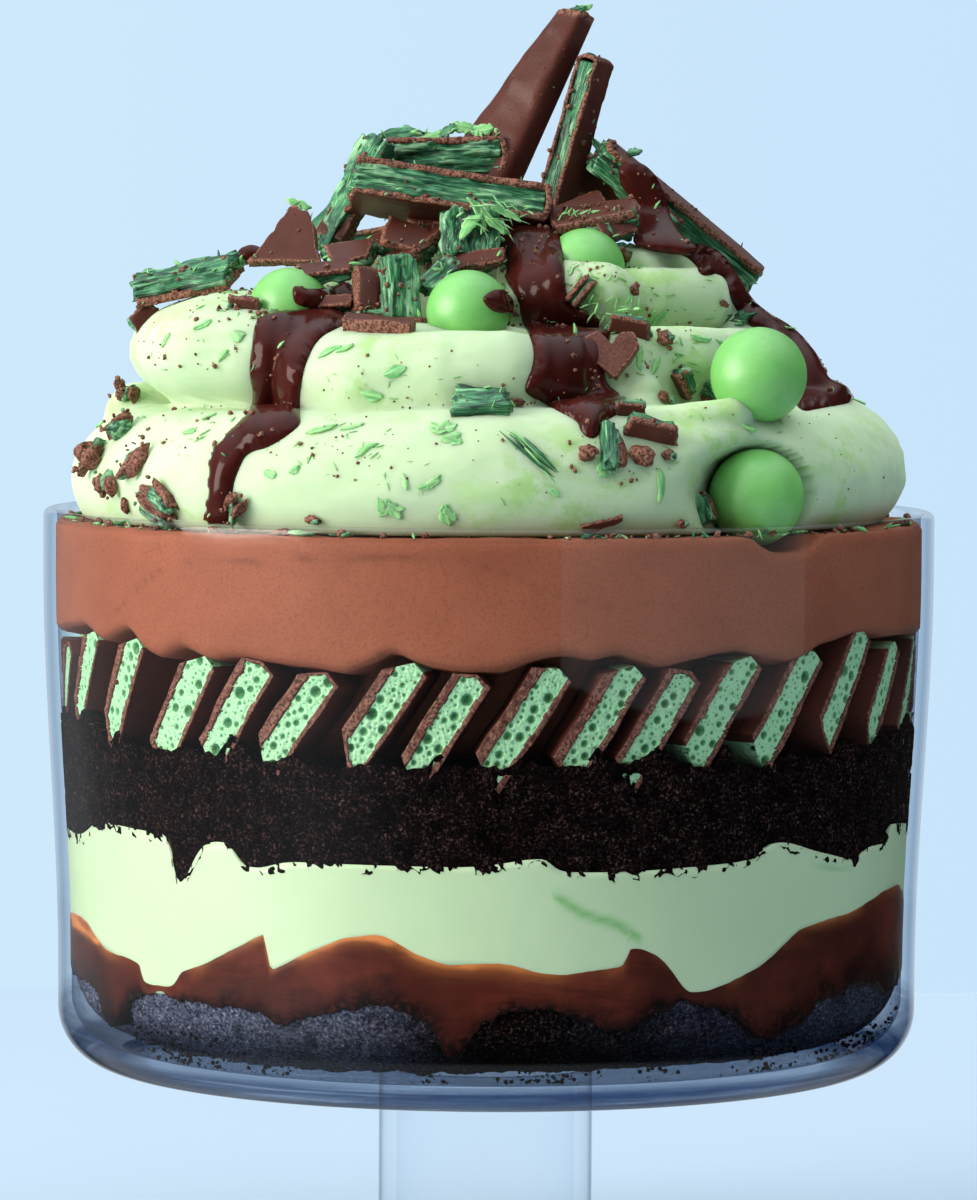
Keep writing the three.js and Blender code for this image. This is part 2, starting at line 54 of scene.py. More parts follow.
def turn(a, b):
    return (np.asarray(a, float) - b + 540.0) % 360.0 - 180.0


def polar(r, deg, z):
    """Points from radius, degrees from the front (-Y) towards +X, and height."""
    t = np.radians(deg)
    r, t, z = np.broadcast_arrays(np.asarray(r, float), t, np.asarray(z, float))
    return np.stack([r * np.sin(t), -r * np.cos(t), z], -1)


def unit(v):
    v = np.asarray(v, float)
    return v / np.maximum(np.linalg.norm(v, axis=-1, keepdims=True), 1e-12)


def _hash(i, j, k, seed):
    h = (i * 374761393 + j * 668265263 + k * 1440662683 + seed * 974634777) & 0xFFFFFFFF
    h = ((h ^ (h >> 13)) * 1274126177) & 0xFFFFFFFF
    h = ((h ^ (h >> 16)) * 2246822519) & 0xFFFFFFFF
    return ((h ^ (h >> 15)) & 0xFFFFFF) / float(0xFFFFFF)


def noise(p, size, seed=0):
    """Smooth value noise from -1 to 1 with lumps of about that size."""
    q = np.asarray(p, float) / size + 1000.0
    i = np.floor(q).astype(np.int64)
    f = q - i
    f = f * f * f * (f * (f * 6 - 15) + 10)
    out = 0.0
    for dx in (0, 1):
        wx = f[..., 0] if dx else 1 - f[..., 0]
        for dy in (0, 1):
            wy = f[..., 1] if dy else 1 - f[..., 1]
            for dz in (0, 1):
                wz = f[..., 2] if dz else 1 - f[..., 2]
                out = out + wx * wy * wz * _hash(i[..., 0] + dx, i[..., 1] + dy, i[..., 2] + dz, seed)
    return out * 2 - 1


def fbm(p, size, octaves=3, seed=0, gain=0.5):
    out, amp, total = 0.0, 1.0, 0.0
    for o in range(octaves):
        out = out + amp * noise(p, size / 2 ** o, seed + 31 * o)
        total += amp
        amp *= gain
    return out / total


# ================================================================ meshes
def mesh_from(name, verts, faces, mats=(), fmat=None, flat=False, attrs=None, colours=None):
    """A mesh object from points in mm and a list of face arrays (n x 3 or n x 4)."""
    faces = [np.asarray(f, np.int64) for f in (faces if isinstance(faces, list) else [faces]) if len(f)]
    me = bpy.data.meshes.new(name)
    v = np.ascontiguousarray(np.asarray(verts, np.float64) * MM, dtype=np.float32)
    me.vertices.add(len(v))
    me.vertices.foreach_set("co", v.ravel())
    loops = np.concatenate([f.ravel() for f in faces]).astype(np.int32)
    sizes = np.concatenate([np.full(len(f), f.shape[1]) for f in faces]).astype(np.int32)
    starts = np.concatenate([[0], np.cumsum(sizes)[:-1]]).astype(np.int32)
    me.loops.add(len(loops))
    me.loops.foreach_set("vertex_index", loops)
    me.polygons.add(len(sizes))
    me.polygons.foreach_set("loop_start", starts)
    me.polygons.foreach_set("loop_total", sizes)
    me.polygons.foreach_set("use_smooth", np.full(len(sizes), not flat))
    for m in mats:
        me.materials.append(m)
    if fmat is not None:
        me.polygons.foreach_set("material_index", np.asarray(fmat, np.int32))
    me.update(calc_edges=True)
    for k, val in (attrs or {}).items():
        a = me.attributes.new(k, "FLOAT", "POINT")
        a.data.foreach_set("value", np.asarray(val, np.float32))
    me.validate()
    ob = bpy.data.objects.new(name, me)
    ROOT.objects.link(ob)
    return ob


def grid(rows, cols, wrap=False, start=0, flip=False):
    """Quads over rows x cols points; wrap joins the last column to the first."""
    r, c = np.meshgrid(np.arange(rows - 1), np.arange(cols if wrap else cols - 1), indexing="ij")
    a, n = r * cols + c, (c + 1) % cols
    b, d = r * cols + n, (r + 1) * cols + c
    e = (r + 1) * cols + n
    q = np.stack([a, b, e, d] if flip else [a, d, e, b], -1).reshape(-1, 4)
    return q + start


def join_parts(parts):
    """Several (points, faces list) as one."""
    vs, fs, n = [], [], 0
    for v, f in parts:
        vs.append(v)
        fs += [np.asarray(x) + n for x in f]
        n += len(v)
    return np.concatenate(vs), fs


def rings_solid(rings, angles):
    """A closed body from rings of (radius, height) over the angles; the first and last rings are closed with a fan to the axis."""
    n = len(angles)
    pts = [polar(np.broadcast_to(r, n), angles, np.broadcast_to(z, n)) for r, z in rings]
    v = np.concatenate(pts)
    faces = [grid(len(rings), n, wrap=True)]
    top, low = len(v), len(v) + 1
    v = np.concatenate([v, [[0, 0, float(np.mean(rings[0][1]))], [0, 0, float(np.mean(rings[-1][1]))]]])
    k = np.arange(n)
    j = (k + 1) % n
    last = (len(rings) - 1) * n
    faces.append(np.stack([np.full(n, top), k, j], -1))
    faces.append(np.stack([np.full(n, low), last + j, last + k], -1))
    return v, faces


def ride(ob, *nodes, slot=None):
    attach(ob, "root")
    if nodes:
        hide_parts(*nodes)
    return ob


# ================================================================ materials
class Nodes:
    """A short way to write a node material."""

    def __init__(self, name, **sockets):
        self.mat = bpy.data.materials.new(name)
        self.mat.use_nodes = True
        self.t = self.mat.node_tree
        self.t.nodes.clear()
        self.out = self.t.nodes.new("ShaderNodeOutputMaterial")
        self.bsdf = self.t.nodes.new("ShaderNodeBsdfPrincipled")
        self.t.links.new(self.bsdf.outputs[0], self.out.inputs[0])
        for k, v in sockets.items():
            self.set(self.bsdf, k.replace("_", " "), v)
        self.place = None

    def set(self, node, key, value):
        s = node.inputs[key]
        if isinstance(value, bpy.types.NodeSocket):
            self.t.links.new(value, s)
        elif isinstance(value, (tuple, list)) and len(value) == 3 and s.type == "RGBA":
            s.default_value = (*value, 1)
        else:
            s.default_value = value

    def new(self, kind, out=0, props=None, **sockets):
        n = self.t.nodes.new("ShaderNode" + kind)
        for k, v in (props or {}).items():
            setattr(n, k, v)
        for k, v in sockets.items():
            key = int(k[1:]) if k[0] == "i" and k[1:].isdigit() else k.replace("_", " ")
            self.set(n, key, v)
        return n.outputs[out]

    def coord(self):
        if self.place is None:
            self.place = self.new("TexCoord", out="Object")
        return self.place

    def noise(self, scale, detail=3.0, rough=0.5, distortion=0.0, vector=None, out=0):
        return self.new("TexNoise", out=out, Vector=vector or self.coord(), Scale=scale, Detail=detail, Roughness=rough, Distortion=distortion)

    def stretch(self, scale, rotate=(0, 0, 0), vector=None):
        return self.new("Mapping", Vector=vector or self.coord(), Scale=scale, Rotation=rotate)

    def voronoi(self, scale, feature="F1", vector=None, randomness=1.0, out=0):
        return self.new("TexVoronoi", out=out, props={"feature": feature}, Vector=vector or self.coord(), Scale=scale, Randomness=randomness)

    def attr(self, name):
        return self.new("Attribute", out="Fac", props={"attribute_name": name})

    def ramp(self, fac, stops, mode="LINEAR"):
        n = self.t.nodes.new("ShaderNodeValToRGB")
        n.color_ramp.interpolation = mode
        e = n.color_ramp.elements
        while len(e) < len(stops):
            e.new(0.5)
        for el, (pos, col) in zip(e, stops):
            el.position = pos
            el.color = (col, col, col, 1) if isinstance(col, (int, float)) else (*col, 1)
        self.t.links.new(fac, n.inputs[0])
        return n.outputs[0]

    def mix(self, fac, a, b, mode="MIX"):
        n = self.t.nodes.new("ShaderNodeMix")
        n.data_type = "RGBA"
        n.blend_type = mode
        for key, v in ((0, fac), (6, a), (7, b)):
            if isinstance(v, bpy.types.NodeSocket):
                self.t.links.new(v, n.inputs[key])
            elif key and not isinstance(v, (int, float)):
                n.inputs[key].default_value = (*v, 1)
            else:
                n.inputs[key].default_value = v if not key else (v, v, v, 1)
        return n.outputs[2]

    def math(self, op, a, b=None, c=None, clamp=False):
        n = self.t.nodes.new("ShaderNodeMath")
        n.operation = op
        n.use_clamp = clamp
        for i, v in enumerate((a, b, c)):
            if v is None:
                continue
            if isinstance(v, bpy.types.NodeSocket):
                self.t.links.new(v, n.inputs[i])
            else:
                n.inputs[i].default_value = v
        return n.outputs[0]

    def bump(self, height, strength=0.3, distance=0.0005, normal=None):
        n = self.t.nodes.new("ShaderNodeBump")
        n.inputs["Strength"].default_value = strength
        n.inputs["Distance"].default_value = distance
        self.t.links.new(height, n.inputs["Height"])
        if normal is not None:
            self.t.links.new(normal, n.inputs["Normal"])
        return n.outputs[0]

    def use(self, **sockets):
        for k, v in sockets.items():
            self.set(self.bsdf, k.replace("_", " "), v)
        return self.mat


def lin(r, g, b):
    """Linear colour from 0-255 display values."""
    return tuple((c / 255 / 12.92) if c / 255 <= 0.04045 else ((c / 255 + 0.055) / 1.055) ** 2.4 for c in (r, g, b))


# ================================================================ camera, stage and light
CAMERA = dict(back=1604.0, height=269.0, pitch=math.radians(3.284), roll=math.radians(0.3395), focal=6370.0, wide=977, high=1200)


def make_camera():
    c = CAMERA
    f = Vector((0, math.cos(c["pitch"]), -math.sin(c["pitch"])))
    r0, u0 = Vector((1, 0, 0)), Vector((0, math.sin(c["pitch"]), math.cos(c["pitch"])))
    co, si = math.cos(c["roll"]), math.sin(c["roll"])
    right, up = co * r0 + si * u0, co * u0 - si * r0
    cam = bpy.data.cameras.new("camera")
    cam.sensor_fit = "AUTO"
    cam.sensor_width = 36
    cam.lens = c["focal"] * 36 / c["high"]
    cam.clip_start, cam.clip_end = 0.05, 20
    ob = bpy.data.objects.new("camera", cam)
    m = Matrix((right, up, -f)).transposed().to_4x4()
    m.translation = Vector((0, -c["back"] * MM, c["height"] * MM))
    ob.matrix_world = m
    ROOT.objects.link(ob)
    bpy.context.scene.camera = ob


def sight(x, y):
    """Start and direction, in mm, of the camera's line through a place in the 977 x 1200 picture."""
    c = CAMERA
    x, y = np.asarray(x, float) - c["wide"] / 2, np.asarray(y, float) - c["high"] / 2
    co, si = math.cos(c["roll"]), math.sin(c["roll"])
    u, v = x * co + y * si, -x * si + y * co
    cp, sp = math.cos(c["pitch"]), math.sin(c["pitch"])
    d = np.stack([u / c["focal"], cp - v / c["focal"] * sp, -sp - v / c["focal"] * cp], -1)
    return np.array([0, -c["back"], c["height"]]), unit(d)


def light(name, kind, at, to, power, size=(1, 1), colour=(1, 1, 1)):
    data = bpy.data.lights.new(name, kind)
    data.energy = power
    data.color = colour
    data.shape = "RECTANGLE"
    data.size, data.size_y = size
    ob = bpy.data.objects.new(name, data)
    ob.location = at
    ob.rotation_euler = (Vector(to) - Vector(at)).to_track_quat("-Z", "Y").to_euler()
    ob.visible_camera = False
    ROOT.objects.link(ob)
    return ob


def make_stage():
    n = Nodes("table_top", Roughness=0.6, Specular_IOR_Level=0.15)
    cloud = n.noise(1.6, 3, 0.55)
    n.use(Base_Color=n.ramp(cloud, [(0.3, lin(169, 185, 201)), (0.7, lin(175, 191, 206))]))
    s = 6.0
    floor = mesh_from("floor", np.array([[-s, -s, 0], [s, -s, 0], [s, 0.66, 0], [-s, 0.66, 0]]) * 1000, [np.array([[0, 1, 2, 3]])], [n.mat])
    floor.location.z = -0.0004
    floor.visible_glossy = False

    w = bpy.data.worlds.new("studio")
    bpy.context.scene.world = w
    w.use_nodes = True
    t = w.node_tree
    t.nodes.clear()
    out = t.nodes.new("ShaderNodeOutputWorld")
    seen, lit = t.nodes.new("ShaderNodeBackground"), t.nodes.new("ShaderNodeBackground")
    mix, path = t.nodes.new("ShaderNodeMixShader"), t.nodes.new("ShaderNodeLightPath")
    where, xyz = t.nodes.new("ShaderNodeTexCoord"), t.nodes.new("ShaderNodeSeparateXYZ")
    t.links.new(where.outputs["Generated"], xyz.inputs[0])

    def along(axis, stops):
        half = t.nodes.new("ShaderNodeMath")
        half.operation = "MULTIPLY_ADD"
        half.inputs[1].default_value = half.inputs[2].default_value = 0.5
        ramp = t.nodes.new("ShaderNodeValToRGB")
        while len(ramp.color_ramp.elements) < len(stops):
            ramp.color_ramp.elements.new(0.5)
        for el, (pos, v) in zip(ramp.color_ramp.elements, stops):
            el.position, el.color = pos, ((v, v, v, 1) if isinstance(v, (int, float)) else (*v, 1))
        t.links.new(xyz.outputs[axis], half.inputs[0])
        t.links.new(half.outputs[0], ramp.inputs[0])
        return ramp.outputs[0]

    def plus(a, b):
        n = t.nodes.new("ShaderNodeMath")
        n.operation = "ADD"
        t.links.new(a, n.inputs[0])
        t.links.new(b, n.inputs[1])
        return n.outputs[0]
    # a pale backdrop behind, the lit side of the room on the left, dim in front and on the right
    t.links.new(along(0, [(0.462, lin(206, 233, 252)), (0.538, lin(200, 228, 251))]), seen.inputs[0])
    lit.inputs[0].default_value = (0.84, 0.94, 1.0, 1)
    strength = plus(plus(along(0, [(0.0, 0.34), (0.14, 0.40), (0.34, 0.07), (0.5, 0.02), (1.0, 0.02)]), along(1, [(0.955, 0.0), (0.985, 0.75)])), along(2, [(0.0, 0.5), (0.28, 0.46), (0.34, 0.0), (0.72, 0.0), (1.0, 2.1)]))
    t.links.new(strength, lit.inputs[1])
    t.links.new(path.outputs["Is Camera Ray"], mix.inputs[0])
    t.links.new(lit.outputs[0], mix.inputs[1])
    t.links.new(seen.outputs[0], mix.inputs[2])
    t.links.new(mix.outputs[0], out.inputs[0])

    mid = (0, 0, 0.17)
    light("key", "AREA", (-1.39, -0.68, 0.60), mid, 38, (1.1, 1.0), (1.0, 0.955, 0.89))
    light("panel", "AREA", (0.64, -0.53, 0.118), (0, 0, 0.118), 0.26, (1.08, 0.165), (0.9, 0.95, 1.0))
    light("above", "AREA", (0.40, -0.62, 1.80), mid, 4.5, (1.2, 1.0), (0.92, 0.96, 1.0)).visible_glossy = False
    light("back", "AREA", (0.55, 1.5, 1.25), mid, 14, (1.4, 1.0), (0.9, 0.96, 1.0)).visible_glossy = False
    v = bpy.context.scene.view_settings
    v.view_transform = "Standard"
    v.look = "None"


# ================================================================ glass bowl
BOWL = dict(height=200.0, rim=112.0, base=108.1, flare_from=85.0, flare_to=185.0, wall=3.4, lip=1.7, underside=60.0, floor=66.0,
            outer_fillet=15.0, inner_fillet=12.0, stem=27.0, stem_wall=4.5, foot=70.0, foot_edge=4.0, foot_rise=13.0)


def outer_r(z):
    return BOWL["base"] + (BOWL["rim"] - BOWL["base"]) * smooth(BOWL["flare_from"], BOWL["flare_to"], z)


def inner_r(z):
    z = np.asarray(z, float)
    wall = outer_r(z) - BOWL["wall"]
    lift = BOWL["floor"] + BOWL["inner_fillet"] - z
    f = BOWL["inner_fillet"]
    return np.where(lift <= 0, wall, wall - f + np.sqrt(np.maximum(0, f * f - np.clip(lift, 0, f) ** 2)))


def arc(cx, cz, r, a, b, steps):
    t = np.radians(np.linspace(a, b, steps + 1))
    return np.stack([cx + r * np.cos(t), cz + r * np.sin(t)], -1)


def glass_material(name, thick=False, plain=False):
    n = Nodes(name)
    t = n.t
    t.nodes.remove(n.bsdf)
    clear, gloss, mix = t.nodes.new("ShaderNodeBsdfTransparent"), t.nodes.new("ShaderNodeBsdfGlossy"), t.nodes.new("ShaderNodeMixShader")
    side, back = t.nodes.new("ShaderNodeLayerWeight"), t.nodes.new("ShaderNodeNewGeometry")
    side.inputs["Blend"].default_value = 0.5
    gloss.inputs["Roughness"].default_value = 0.03
    t.links.new(n.bump(n.noise(9.0, 2, 0.5), 0.10, 0.002), gloss.inputs["Normal"])
    c = n.ramp(side.outputs["Facing"], [(0.0, (0.995, 0.998, 1.0)), (0.7, (0.97, 0.98, 0.99)), (1.0, lin(190, 208, 228) if thick else lin(206, 222, 238))])
    if plain:
        c = n.ramp(side.outputs["Facing"], [(0.0, (0.995, 0.998, 1.0)), (1.0, (0.95, 0.97, 0.99))])
    if thick:
        # painted shade: where the deep attribute is set, what shows through is tinted dark blue with darker vertical
        # streaks, so the foot looks dark instead of showing the bright table behind
        streak = n.noise(1.0, 4, 0.65, vector=n.stretch((16, 16, 620)))
        deep = n.math("MULTIPLY", n.attr("deep"), n.ramp(streak, [(0.42, 1.0), (0.58, 0.8), (0.68, 0.45)]))
        c = n.mix(n.ramp(deep, [(0.0, 0.0), (0.35, 0.50), (1.0, 1.0)]), c, lin(50, 82, 120))
    t.links.new(c, clear.inputs[0])
    # reflection grows towards the edges; where the filling wets the inside there is next to none
    grow = n.math("MULTIPLY_ADD", n.math("POWER", side.outputs["Facing"], 4.6), 0.08 if plain else 0.80, 0.01 if plain else 0.038)
    t.links.new(n.math("MULTIPLY", grow, n.math("MULTIPLY_ADD", back.outputs["Backfacing"], -0.9, 1.0)), mix.inputs[0])
    t.links.new(clear.outputs[0], mix.inputs[1])
    t.links.new(gloss.outputs[0], mix.inputs[2])
    t.links.new(mix.outputs[0], n.out.inputs[0])
    return n.mat


def make_glass():
    b = BOWL
    z_in, z_out = b["floor"] + b["inner_fillet"], b["underside"] + b["outer_fillet"]
    r_in, r_out = float(inner_r(z_in)), float(outer_r(z_out))
    hollow = b["stem"] - b["stem_wall"]
    up = np.array([[float(inner_r(z)), z] for z in (*np.linspace(86, 196.5, 16), 197.6, 198.1)])
    down = np.array([[float(outer_r(z)), z] for z in (198.1, 197.6, *np.linspace(196.5, 80, 16))])
    line = np.concatenate([
        np.stack([np.linspace(8, r_in - b["inner_fillet"] - 2, 10), np.full(10, b["floor"])], -1),
        arc(r_in - b["inner_fillet"], z_in, b["inner_fillet"], -90, 0, 14),
        up,
        arc(b["rim"] - b["lip"], b["height"] - b["lip"], b["lip"], 180, 0, 12),
        down,
        arc(r_out - b["outer_fillet"], z_out, b["outer_fillet"], 0, -90, 18),
        np.stack([np.linspace(84, b["stem"] + 6, 7), np.full(7, b["underside"])], -1),
        arc(b["stem"] + 3, b["underside"] - 3, 3, 90, 180, 6),
        np.stack([np.full(6, b["stem"]), np.linspace(50, 20, 6)], -1),
        arc(b["stem"] + b["foot_rise"], b["foot_edge"] + b["foot_rise"], b["foot_rise"], 180, 262, 12),
        np.stack([np.linspace(46, b["foot"] - 3, 6), b["foot_edge"] - 0.35 * np.linspace(0.2, 1, 6)], -1),
        arc(b["foot"] - 1.8, 1.8, 1.8, 70, -80, 7),
        np.stack([np.linspace(b["foot"] - 4, hollow + 3, 6), np.full(6, 0.0)], -1),
        arc(hollow + 1.5, 1.5, 1.5, -90, -180, 4),
        np.stack([np.full(6, hollow), np.linspace(8, b["underside"] - 7, 6)], -1),
        arc(hollow - 4, b["underside"] - 4, 4, 0, 90, 7),
        np.stack([np.linspace(hollow - 9, 4, 3), np.full(3, b["underside"])], -1)])
    n = 160
    ang = np.arange(n) * 360.0 / n
    v, faces = rings_solid([(p[0], p[1]) for p in line], ang)
    zmid = [v[f][:, :, 2].mean(1) for f in faces]
    rmid = [np.hypot(v[f][:, :, 0], v[f][:, :, 1]).mean(1) for f in faces]
    fm = np.concatenate([np.where((z < 60.5) & (r < hollow + 1.2), 2, (z < 104).astype(int)) for z, r in zip(zmid, rmid)])
    # how much glass is looked through, which also sets painted shade: most at the foot of the outer wall, some in the
    # stem's sides
    edge_on = 1 - smooth(65.0, 68.6, line[:, 1])
    outer = np.arange(len(line)) >= 10 + 15 + 18 + 13 + 18
    below = line[:, 1] < 59.5
    deep = np.where(outer, np.where(below, 0.0, np.where(line[:, 0] > 90, np.maximum(edge_on, 0.42 * (1 - smooth(72, 100, line[:, 1]))), 0.12)), 0.0)
    ob = mesh_from("glass_bowl_clear", v, faces, (glass_material("bowl_glass"), glass_material("bowl_glass_base", True), glass_material("bowl_glass_hollow", plain=True)), fm,
                   attrs={"deep": np.concatenate([np.repeat(deep, n), [0.0, 0.0]])})
    return ride(ob, "glass_bowl", slot="glass")


# ================================================================ layers in the bowl
CAKE_UNDERSIDE = (118, [
    (-63.1, 4.6, 5.7, 16), (-44.7, -11.4, 1.4, 3.5), (-36, 5.1, 16, 1.7), (-31.4, -2, 13.9, 3.3), (7.1, 2.8, 6, 1.6),
    (15.8, -1.4, 13.1, 16), (41.2, 3.9, 3.6, 6.4), (58.3, -2.4, 5.7, 2.3), (70.4, 4.2, 0.9, 16),
    (108, -3, 9, 5), (131, 3.5, 7, 12), (163, -2.5, 10, 6), (196, 3.2, 12, 5), (228, -3.4, 6, 9), (252, 3, 8, 10)])
CARAMEL_TOP = (98, [
    (-71.4, 3.1, 16, 5.1), (-53.7, 3.8, 7.8, 0.7), (-45.8, -14.3, 16, 16), (-44.4, 2.9, 1.2, 6.5), (-30.5, 10.2, 16, 0.7),
    (-14.4, 6.9, 11.5, 4.9), (8.3, -3.2, 3.9, 9.1), (19.1, 4, 0.7, 3.9), (27.9, -9, 3.1, 10.8), (47, 5.6, 5.3, 16),
    (73.5, 11.7, 16, 16), (104, -6, 6, 12), (127, 7, 14, 3), (149, -7, 4, 12), (176, 6, 16, 9), (203, -8, 7, 14),
    (231, 7, 13, 4), (255, -5, 5, 10)])
CRUMB_TOP = (84, [
    (-62, -9, 4, 5), (-49, 1.8, 4, 4), (-28, -2.5, 5, 4), (-14, 1.6, 5, 5), (-4.5, -11, 2.4, 2.8), (7, 1.4, 4, 4), (17, -3, 5, 3),
    (28, 1.6, 4, 4), (42, -8, 7, 6), (60, 2, 6, 6), (74, -3, 5, 6), (101, 2, 8, 8), (122, -6, 5, 6), (150, -2, 6, 8),
    (178, -7, 4, 5), (210, -3, 8, 6), (236, -6, 5, 5), (262, 2, 8, 7)])
FRONT_BARS = [
    (-68.3, 158, 2, -0.6), (-56.7, 157, 4, 0), (-44, 154.4, 1, 0.4), (-34.8, 154.5, -1, 0), (-26.1, 153, -4, 0.3),
    (-14.4, 155, -1, 0.2), (-6, 152.5, 1, -0.5), (4, 153.5, 0, 0), (14, 154, 1, -0.2), (21.8, 152.8, 1, -0.8),
    (31, 156, 1, -0.2), (41.8, 156.5, -1, 0), (53.5, 160, 1, -0.4), (64, 156.5, 1, -0.6), (76.5, 156, 2, -0.3)]
BAR = dict(length=32.0, thick=9.8, depth=13.0, lean=57.0, bottom_cut=6.0, top_cut=4.5)
MOUSSE_TOP, CAKE_TOP, RING_DEPTH, RING_FLOOR = 197.3, 143.5, 17.0, 166.5


def edge(shape, deg):
    z = np.full(np.shape(deg), float(shape[0]))
    for at, h, l, r in shape[1]:
        d = turn(deg, at)
        z = z + h * np.exp(-(d / np.where(d < 0, l, r)) ** 2)
    return z


def wave(shape, deg, r):
    return shape[0] + (edge(shape, deg) - shape[0]) * smooth(0.35, 0.95, r / 105)


def lcg(seed):
    s = seed & 0xFFFFFFFF
    while True:
        s = (s * 1664525 + 1013904223) & 0xFFFFFFFF
        yield s / 4294967296


def bar_list():
    r = lcg(41)
    bars = [dict(deg=d, z=z, lean=BAR["lean"] + l, thick=BAR["thick"] + t) for d, z, l, t in FRONT_BARS]
    for i in range(14):
        deg = 90.5 + i * (360 - 90.5 - 80.5) / 13
        bars.append(dict(deg=deg + 2.2 * (next(r) - 0.5), z=155 + 2.5 * (next(r) - 0.5), lean=BAR["lean"] + 5 * (next(r) - 0.5), thick=BAR["thick"] + 0.8 * (next(r) - 0.5)))
    for b in bars:
        b["low"] = BAR["bottom_cut"] * (0.5 + next(r))
        b["top"] = BAR["top_cut"] * (0.5 + next(r))
        b["length"] = BAR["length"] + 1.6 * (next(r) - 0.5)
    return bars


BARS = bar_list()


# the mousse's lower edge on the glass in front: degrees and height
MOUSSE_EDGE = [(-88, 169.4), (-81, 170.0), (-66.6, 173.2), (-60.5, 169.4), (-53.8, 173.6), (-50.4, 168.6), (-47, 166.8), (-42.9, 170.3), (-38.3, 167.2), (-33, 168.4), (-28.9, 167.3),
               (-23.5, 166.6), (-18.2, 165.4), (-15.2, 167.4), (-12, 170.9), (-8.8, 168.3), (-5.4, 166.6), (-1.6, 166.2), (1.7, 166.2), (4, 167.8), (7.1, 169.8), (9.9, 170.5), (13.6, 169.2),
               (17, 170.8), (20.4, 168.8), (23.1, 167.2), (26.8, 168.8), (30.3, 169.8), (33.6, 170.8), (38.2, 168.8), (42.7, 167), (47.9, 170.7), (52.8, 172.3), (57.1, 173.2), (66.9, 171.4), (81.3, 170.8), (88, 169.6)]


def mousse_edge(deg):
    a, h = np.array(MOUSSE_EDGE, float).T
    d = turn(deg, 0)
    z = sum(np.interp(d + k, a, h) * w for k, w in ((-0.9, 0.25), (0, 0.5), (0.9, 0.25)))
    far = smooth(80, 92, np.abs(d))
    return z * (1 - far) + (ring_floor(deg) - 1.5) * far


def ring_floor(deg):
    z = RING_FLOOR + 3 * (np.minimum(np.abs(turn(deg, 0)), 90) / 75) ** 2
    for b in BARS:
        d = turn(deg, b["deg"] + 2.2)
        z = z + 4.4 * np.exp(-(d / np.where(d < 0, 3.4, 2.4)) ** 2)
    return z


def cake_top(deg):
    return CAKE_TOP + 6.0 * np.exp(-(turn(deg, -74) / 17) ** 2) + 4.0 * np.exp(-(turn(deg, 78) / 14) ** 2) + 0.8 * np.sin(np.radians(7 * np.asarray(deg)))


def angles(front, back):
    """Angles round the bowl, closer together in front."""
    a = np.arange(-98, 98, front)
    b = np.arange(98, 262, back)
    return np.concatenate([a, b])


def rows(top, low, count):
    """Heights between two edges, each an array over the angles."""
    return [low + (top - low) * t for t in np.linspace(1, 0, count)]


def cake_material(name, pale=False):
    n = Nodes(name, Roughness=0.8, Specular_IOR_Level=0.0)
    fine, grain = n.noise(1250, 4, 0.72), n.noise(3000, 2, 0.6)
    lump = n.noise(240, 4, 0.65)
    speck = n.voronoi(1000)
    # the pale end of this ramp and the pale specks below are partly lighter crumb, partly painted glints on moist crumb
    c = n.ramp(fine, [(0.40, lin(8, 4, 4)), (0.52, lin(25, 16, 15)), (0.60, lin(62, 43, 40)), (0.70, lin(128, 98, 88))])
    c = n.mix(n.ramp(lump, [(0.42, 0.0), (0.60, 0.85)]), c, lin(7, 4, 4))
    c = n.mix(n.ramp(speck, [(0.0, 0.6), (0.10, 0.0)]), c, lin(120, 84, 70))
    # painted sheen: a pale grey-blue haze mixed in where the pale attribute is set, standing in for light reflected off
    # the crumbs at the glass
    if pale:
        c = n.mix(n.attr("pale"), c, n.ramp(fine, [(0.36, lin(34, 35, 46)), (0.48, lin(90, 93, 113)), (0.60, lin(134, 138, 162)), (0.70, lin(205, 209, 228))]))
    height = n.math("ADD", n.math("MULTIPLY", fine, 1.0), n.math("MULTIPLY", grain, 0.4))
    return n.use(Base_Color=c, Normal=n.bump(height, 1.0, 0.0011, n.bump(lump, 0.8, 0.002)))


def mousse_material():
    n = Nodes("chocolate_mousse", Roughness=0.6, Specular_IOR_Level=0.10, Subsurface_Weight=0.12, Subsurface_Scale=0.002)
    n.set(n.bsdf, "Subsurface Radius", (1.0, 0.35, 0.2))
    grain, cloud = n.noise(1500, 3, 0.6), n.noise(38, 3, 0.55)
    pore_shade = n.voronoi(420)
    c = n.ramp(cloud, [(0.3, lin(135, 76, 54)), (0.7, lin(151, 88, 64))])
    c = n.mix(n.ramp(grain, [(0.35, 0.55), (0.5, 0.0)]), c, lin(118, 66, 48))
    # painted shade: small dark dots where the mousse's pores would lie in shade
    c = n.mix(n.ramp(pore_shade, [(0.0, 0.8), (0.05, 0.0)]), c, lin(64, 34, 26))
    # painted shade: darker brown along the lines where the mousse folds against the glass
    c = n.mix(n.attr("line"), c, lin(86, 46, 34))
    return n.use(Base_Color=c, Normal=n.bump(grain, 0.25, 0.0004, n.bump(cloud, 0.2, 0.002)))


def custard_material():
    n = Nodes("mint_custard", Roughness=0.42, Specular_IOR_Level=0.4, Subsurface_Weight=0.25, Subsurface_Scale=0.004)
    n.set(n.bsdf, "Subsurface Radius", (0.8, 1.0, 0.6))
    cloud, soft = n.noise(26, 3, 0.5), n.noise(120, 2, 0.5)
    c = n.ramp(cloud, [(0.3, lin(182, 204, 160)), (0.7, lin(190, 210, 168))])
    c = n.mix(n.attr("line"), c, lin(116, 176, 100))
    return n.use(Base_Color=c, Normal=n.bump(soft, 0.12, 0.0015))


